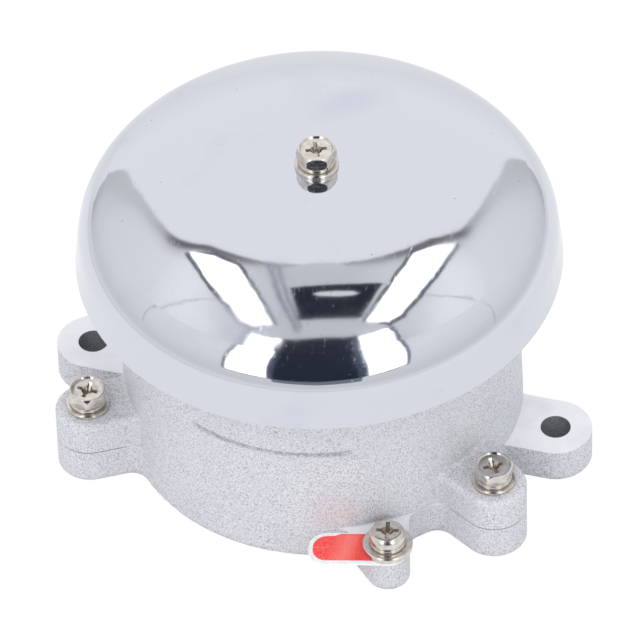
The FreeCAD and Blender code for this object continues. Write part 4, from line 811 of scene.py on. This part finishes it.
CAMERA_TURN = math.radians(16.72)
CAMERA_TILT = math.radians(45.34)
CAMERA_ROLL = math.radians(-1.66)
CAMERA_REACH = 1.574
CAMERA_TARGET = Vector((-0.15, -0.34, 27.40)) * MM
SENSOR = 36.0
FOCAL_PIXELS, FRAME_PIXELS = 7620, 640

aside = Vector((math.cos(CAMERA_TURN), math.sin(CAMERA_TURN), 0))
forward = Vector((math.sin(CAMERA_TURN), -math.cos(CAMERA_TURN), 0))
up = Vector((0, 0, 1))


def make_camera():
    back = forward * math.cos(CAMERA_TILT) + up * math.sin(CAMERA_TILT)
    lift = back.cross(aside)
    right = aside * math.cos(CAMERA_ROLL) + lift * math.sin(CAMERA_ROLL)
    lift = back.cross(right)
    data = bpy.data.cameras.new("camera")
    data.sensor_width = SENSOR
    data.lens = SENSOR * FOCAL_PIXELS / FRAME_PIXELS
    data.clip_end = 20
    camera = bpy.data.objects.new("camera", data)
    bpy.context.scene.collection.objects.link(camera)
    matrix = camera.matrix_world.copy()
    for column, axis in enumerate((right, lift, back)):
        for row in range(3):
            matrix[row][column] = axis[row]
    place = CAMERA_TARGET + back * CAMERA_REACH
    for row in range(3):
        matrix[row][3] = place[row]
    camera.matrix_world = matrix
    bpy.context.scene.camera = camera


make_camera()


# ---- studio: white floor, light tent, soft boxes and dark openings that the chrome mirrors ----

TENT_REACH = 4.0
# the floor lies just under the bell, so that it doesn't flicker with the flat back face
FLOOR_SIZE, FLOOR_DROP = 6.0, 0.05 * MM
# the floor's rings, as the metal mirrors them: how far right of the bell their middle lies, and their reach
RING_OFFSET, RING_SPAN = 0.1, 3.0
KEY_REACH, KEY_SIZE, KEY_POWER, KEY_TINT = 1.5, 0.7, 3.2, (1.0, 0.985, 0.965)
TENT_TINT, TENT_POWER = (0.95, 0.97, 1.0, 1), 0.91
# how far off cards stand, as shares of TENT_REACH: one that is further off is hidden by a nearer one
EDGE_LAYER, OPENING_LAYER, FRAME_LAYER = 0.95, 1.15, 1.3


def glow(name, colour, strength=1.0):
    """A card's material, which shines evenly and takes no light."""
    material = bpy.data.materials.new(name)
    tree = empty_tree(material)
    light = add(tree, "ShaderNodeEmission", {"Color": linear(colour), "Strength": strength})
    add(tree, "ShaderNodeOutputMaterial", {"Surface": light})
    return material


def shape_curve(node, points):
    """Draw a curve node's line through points, given from left to right."""
    line = node.mapping.curves[0]
    line.points[0].location, line.points[1].location = points[0], points[-1]
    for place in points[1:-1]:
        line.points.new(*place)
    node.mapping.update()


def card(name, corners, material, lights=False, layer=1.0, rim=0.0):
    """A flat card in the studio, which the bell mirrors and the camera doesn't see. Corners are
    (turn, height) in degrees as seen from the gong: turn 0 is towards the camera, and to the
    right is positive. layer sets how far off it stands, rim widens it all round by degrees."""
    aims = []
    for turn, height in corners:
        level, turn, height = math.cos(math.radians(height)), math.radians(turn), math.radians(height)
        aims.append((aside * math.sin(turn) + forward * math.cos(turn)) * level + up * math.sin(height))
    middle = sum(aims, Vector()) / len(aims)
    places = []
    for index, aim in enumerate(aims):
        outward = (aims[(index + 1) % len(aims)] - aims[index - 1]).cross(aim).normalized()
        if outward.dot(aim - middle) < 0:
            outward.negate()
        aim = (aim + outward * math.radians(rim)).normalized()
        places.append(up * GONG_TOP + aim * layer * TENT_REACH)
    mesh = bpy.data.meshes.new(name)
    mesh.from_pydata(places, [], [list(range(len(places)))])
    thing = bpy.data.objects.new(name, mesh)
    bpy.context.scene.collection.objects.link(thing)
    mesh.materials.append(material)
    thing.visible_camera = False
    thing.visible_shadow = lights
    thing.visible_diffuse = lights


def soft_box(name, corners, light, frame_material, rim):
    """A soft box and the thin dark frame round its cloth."""
    card(name, corners, light, lights=True)
    card(name + "_frame", corners, frame_material, layer=FRAME_LAYER, rim=rim)


def make_floor():
    """A white floor that takes the bell's shadow. The camera and the metal see it as bright paper."""
    bpy.ops.mesh.primitive_plane_add(size=FLOOR_SIZE, location=(0, 0, -FLOOR_DROP))
    floor = bpy.context.object
    floor.name = "floor"
    material, tree, place = new_finish("white_floor")
    path = add(tree, "ShaderNodeLightPath").outputs
    seen = add(tree, "ShaderNodeMath", {0: path["Is Camera Ray"], 1: path["Is Glossy Ray"]},
               operation="MAXIMUM")
    plain = add(tree, "ShaderNodeBsdfDiffuse", {"Color": linear("#E7E7E9")})
    shadowed = add(tree, "ShaderNodeBsdfDiffuse", {"Color": linear("#595959")})
    # what the metal mirrors: the table top, its hem, the foot of the tent, and the paper behind
    from_bell = add(tree, "ShaderNodeVectorMath", {0: place, 1: aside * RING_OFFSET}, operation="DISTANCE")
    share = add(tree, "ShaderNodeMath", {0: from_bell, 1: RING_SPAN}, operation="DIVIDE")
    rings = add(tree, "ShaderNodeFloatCurve", {"Value": share})
    shape_curve(rings, [(0, 0.85), (0.14, 0.85), (0.155, 0.70), (0.18, 0.70), (0.20, 0.77), (0.32, 0.77),
                        (0.37, 0.68), (0.50, 0.68), (0.60, 0.78), (1, 0.78)])
    aim = add(tree, "ShaderNodeVectorMath", {0: place}, operation="NORMALIZE")
    behind = add(tree, "ShaderNodeVectorMath", {0: aim, 1: -forward}, operation="DOT_PRODUCT")
    on_paper = add(tree, "ShaderNodeMapRange", {"Value": behind, "From Min": 0.70, "From Max": 0.78})
    mirrored = add(tree, "ShaderNodeMix", {0: on_paper, 2: rings, 3: 0.80})
    strength = add(tree, "ShaderNodeMix", {0: path["Is Glossy Ray"], 2: 0.94, 3: mirrored})
    white = add(tree, "ShaderNodeEmission", {"Color": linear("#FFFFFF"), "Strength": strength})
    bright = add(tree, "ShaderNodeAddShader", {0: shadowed, 1: white})
    mixed = add(tree, "ShaderNodeMixShader", {0: seen, 1: plain, 2: bright})
    add(tree, "ShaderNodeOutputMaterial", {"Surface": mixed})
    floor.data.materials.append(material)


def make_surround():
    """A light tent for what the metal mirrors: greyish side walls, and a white paper sweep behind
    the bell, whose edge leaves a dark seam. Diffuse light comes evenly from all round."""
    world = bpy.data.worlds.new("light_tent")
    bpy.context.scene.world = world
    tree = empty_tree(world)
    path = add(tree, "ShaderNodeLightPath").outputs
    around = add(tree, "ShaderNodeTexCoord").outputs["Generated"]
    view = add(tree, "ShaderNodeMapping", {"Vector": around, "Rotation": (0, 0, -CAMERA_TURN)})
    parts = add(tree, "ShaderNodeSeparateXYZ", {0: view}).outputs
    height = parts[2]
    aside_share = add(tree, "ShaderNodeMath", {0: parts[0]}, operation="ABSOLUTE")
    turn = add(tree, "ShaderNodeMath", {0: aside_share, 1: parts[1]}, operation="ARCTAN2")
    turn = add(tree, "ShaderNodeMath", {0: turn, 1: math.pi}, operation="DIVIDE")
    # how far a direction lies outside the paper's edge, as a share of the way round at that height
    edge = add(tree, "ShaderNodeFloatCurve", {"Value": height})
    shape_curve(edge, [(0, 0.228), (0.06, 0.212), (0.24, 0.179), (0.41, 0.198), (0.54, 0.219), (0.66, 0.245),
                       (0.76, 0.265), (0.83, 0.252), (0.911, 0.228), (0.940, 0.193), (0.9577, 0.133),
                       (0.965, 0.07), (0.967, 0)])
    past_edge = add(tree, "ShaderNodeMath", {0: turn, 1: edge}, operation="SUBTRACT")
    squared = add(tree, "ShaderNodeMath", {0: height, 1: height}, operation="MULTIPLY")
    level = add(tree, "ShaderNodeMath", {0: 1.0, 1: squared}, operation="SUBTRACT")
    spread = add(tree, "ShaderNodeMath", {0: level, 1: 0.5}, operation="POWER")
    outside = add(tree, "ShaderNodeMath", {0: past_edge, 1: spread}, operation="MULTIPLY")
    # the seam beside the paper: dark where the tent's roof meets it, faint down its sides
    width = add(tree, "ShaderNodeFloatCurve", {"Value": height})
    shape_curve(width, [(0, 0.12), (0.25, 0.10), (0.5, 0.040), (0.75, 0.030), (1, 0.028)])
    across = add(tree, "ShaderNodeMath", {0: outside, 1: width}, operation="DIVIDE")
    rise = add(tree, "ShaderNodeFloatCurve", {"Value": across})
    shape_curve(rise, [(0, 0), (0.2, 0.08), (0.5, 0.7), (1, 1)])
    depth = add(tree, "ShaderNodeFloatCurve", {"Value": height})
    shape_curve(depth, [(0, 0.74), (0.5, 0.80), (0.68, 0.62), (0.77, 0.16), (0.87, 0.20), (0.94, 0.55),
                        (0.967, 0.66), (1, 0.66)])
    fade = add(tree, "ShaderNodeMix", {0: rise, 2: depth, 3: 1.0})
    # the side walls, a little brighter round the soft boxes overhead
    wall = add(tree, "ShaderNodeFloatCurve", {"Value": height})
    shape_curve(wall, [(0, 0.79), (0.1, 0.78), (0.34, 0.84), (0.6, 0.90), (0.84, 0.92), (0.93, 0.74),
                       (1, 0.72)])
    folded = add(tree, "ShaderNodeCombineXYZ", {0: aside_share, 1: parts[1], 2: height})
    near_box = add(tree, "ShaderNodeVectorMath", {0: folded, 1: (0.42, 0.13, 0.90)}, operation="DOT_PRODUCT")
    lit = add(tree, "ShaderNodeMapRange", {"Value": near_box, "From Min": 0.955, "From Max": 0.99,
                                           "To Min": 1.0, "To Max": 1.14})
    wall = add(tree, "ShaderNodeMath", {0: wall, 1: lit}, operation="MULTIPLY")
    wall = add(tree, "ShaderNodeMath", {0: wall, 1: fade}, operation="MULTIPLY")
    sheet = add(tree, "ShaderNodeMapRange", {"Value": height, "From Min": 0.0, "From Max": 0.2,
                                             "To Min": 0.92, "To Max": 1.0})
    on_paper = add(tree, "ShaderNodeMapRange", {"Value": outside, "From Min": -0.004, "From Max": 0.0,
                                                "To Min": 1.0, "To Max": 0.0})
    shade = add(tree, "ShaderNodeMix", {0: on_paper, 6: wall, 7: sheet}, data_type="RGBA")
    tent = add(tree, "ShaderNodeBackground", {"Color": shade, "Strength": 1.0})
    light = add(tree, "ShaderNodeBackground", {"Color": TENT_TINT, "Strength": TENT_POWER})
    white = add(tree, "ShaderNodeBackground", {"Color": linear("#FFFFFF"), "Strength": 1.0})
    metal = add(tree, "ShaderNodeMixShader", {0: path["Is Glossy Ray"], 1: light, 2: tent})
    clear = add(tree, "ShaderNodeMath", {0: path["Is Camera Ray"], 1: path["Is Transmission Ray"]},
                operation="MAXIMUM")
    mixed = add(tree, "ShaderNodeMixShader", {0: clear, 1: metal, 2: white})
    add(tree, "ShaderNodeOutputWorld", {"Surface": mixed})


def make_key_light():
    """A large soft light from the front, which shades the casting but isn't mirrored."""
    data = bpy.data.lights.new("key", "AREA")
    data.shape = "DISK"
    data.size = KEY_SIZE
    data.energy = KEY_POWER
    data.color = KEY_TINT
    key = bpy.data.objects.new("key", data)
    bpy.context.scene.collection.objects.link(key)
    direction = (forward * 0.78 - aside * 0.15 + up * 0.60).normalized()
    key.location = direction * KEY_REACH
    key.rotation_euler = direction.to_track_quat("Z", "Y").to_euler()
    key.visible_glossy = False


def make_studio():
    make_floor()
    make_surround()
    make_key_light()
    box_light = glow("soft_box", "#FFFFFF", 2.4)
    over_frame, front_frame = glow("over_box_frame", "#50545E"), glow("front_box_frame", "#7C8290")
    opening, edge = glow("dark_opening", "#2B303D"), glow("opening_edge", "#4C5568")
    seam, rail = glow("tent_seam", "#C3C6CE"), glow("roof_rail", "#A3A6B0")
    soft_box("over_box_left", [(-128, 53), (-130.5, 59.5), (-130.5, 66), (-64, 76.5), (-73, 71.5),
                               (-81.5, 69.5), (-109, 63.5)], box_light, over_frame, 1.2)
    soft_box("over_box_right", [(127.5, 51), (130.5, 57), (131.5, 62), (62, 77), (72.5, 72),
                                (82.5, 69.5), (110, 62.5)], box_light, over_frame, 1.2)
    soft_box("front_box_left", [(-67, 70), (-42, 74.5), (-30, 49.5), (-24, 15), (-33, 14.5),
                                (-42, 14.5), (-46.5, 39)], box_light, front_frame, 1.5)
    soft_box("front_box_right", [(40.5, 75.5), (66.5, 71), (42.5, 42.5), (36.5, 20.5), (27.5, 18.5),
                                 (19.5, 17), (23.5, 52)], box_light, front_frame, 1.5)
    card("roof_opening", [(-133, 80.5), (117.5, 73.5), (64.5, 79), (-47.5, 82.5)], opening,
         layer=OPENING_LAYER)
    card("lamp_in_opening", [(112, 80), (111.5, 81.7), (126.5, 85.4), (-175.5, 87), (-153.5, 85.8),
                             (-177, 85.6), (141.5, 84), (120, 81)],
         glow("lamp_grey", "#F4F4F6"))
    card("front_opening", [(-43, 74.5), (40, 75.5), (23, 52), (18, 16), (-3, 14), (-23, 13.5),
                           (-29, 50)], opening, layer=OPENING_LAYER)
    card("front_opening_foot", [(17, 16.5), (-3, 14.5), (-22, 14), (-21, 8), (-3, 7), (16, 8)],
         glow("opening_foot", "#7C828E"), layer=FRAME_LAYER)
    card("opening_edge_left", [(-44.5, 72.5), (-41, 73.5), (-25, 52.5), (-21, 14), (-23, 13.5), (-29, 50)],
         edge, layer=EDGE_LAYER)
    card("opening_edge_right", [(33, 76), (39, 75), (23, 52), (17.5, 16), (15, 15.5), (17, 54)],
         edge, layer=EDGE_LAYER)
    card("roof_rail_near", [(-143.4, 70.8), (-146.3, 71.5), (-109.8, 80.3), (-31, 79.1), (-36, 78.5),
                            (-107.3, 79)], rail)
    card("roof_rail_far", [(-148.1, 71.9), (-150.7, 72.3), (-113.6, 81.8), (-31.7, 80.7),
                           (-33.7, 79.9), (-111.3, 81)], rail)
    for name, line in (("wall_seam_left", [(-101, 66), (-103, 59), (-101, 47.5), (-95, 38.5), (-84, 12.5)]),
                       ("wall_seam_right", [(100, 64), (99.5, 50), (89, 36.5), (81, 16.5), (78, 2)])):
        card(name, line + [(turn + 0.8, height + 0.8) for turn, height in reversed(line)], seam)


make_studio()
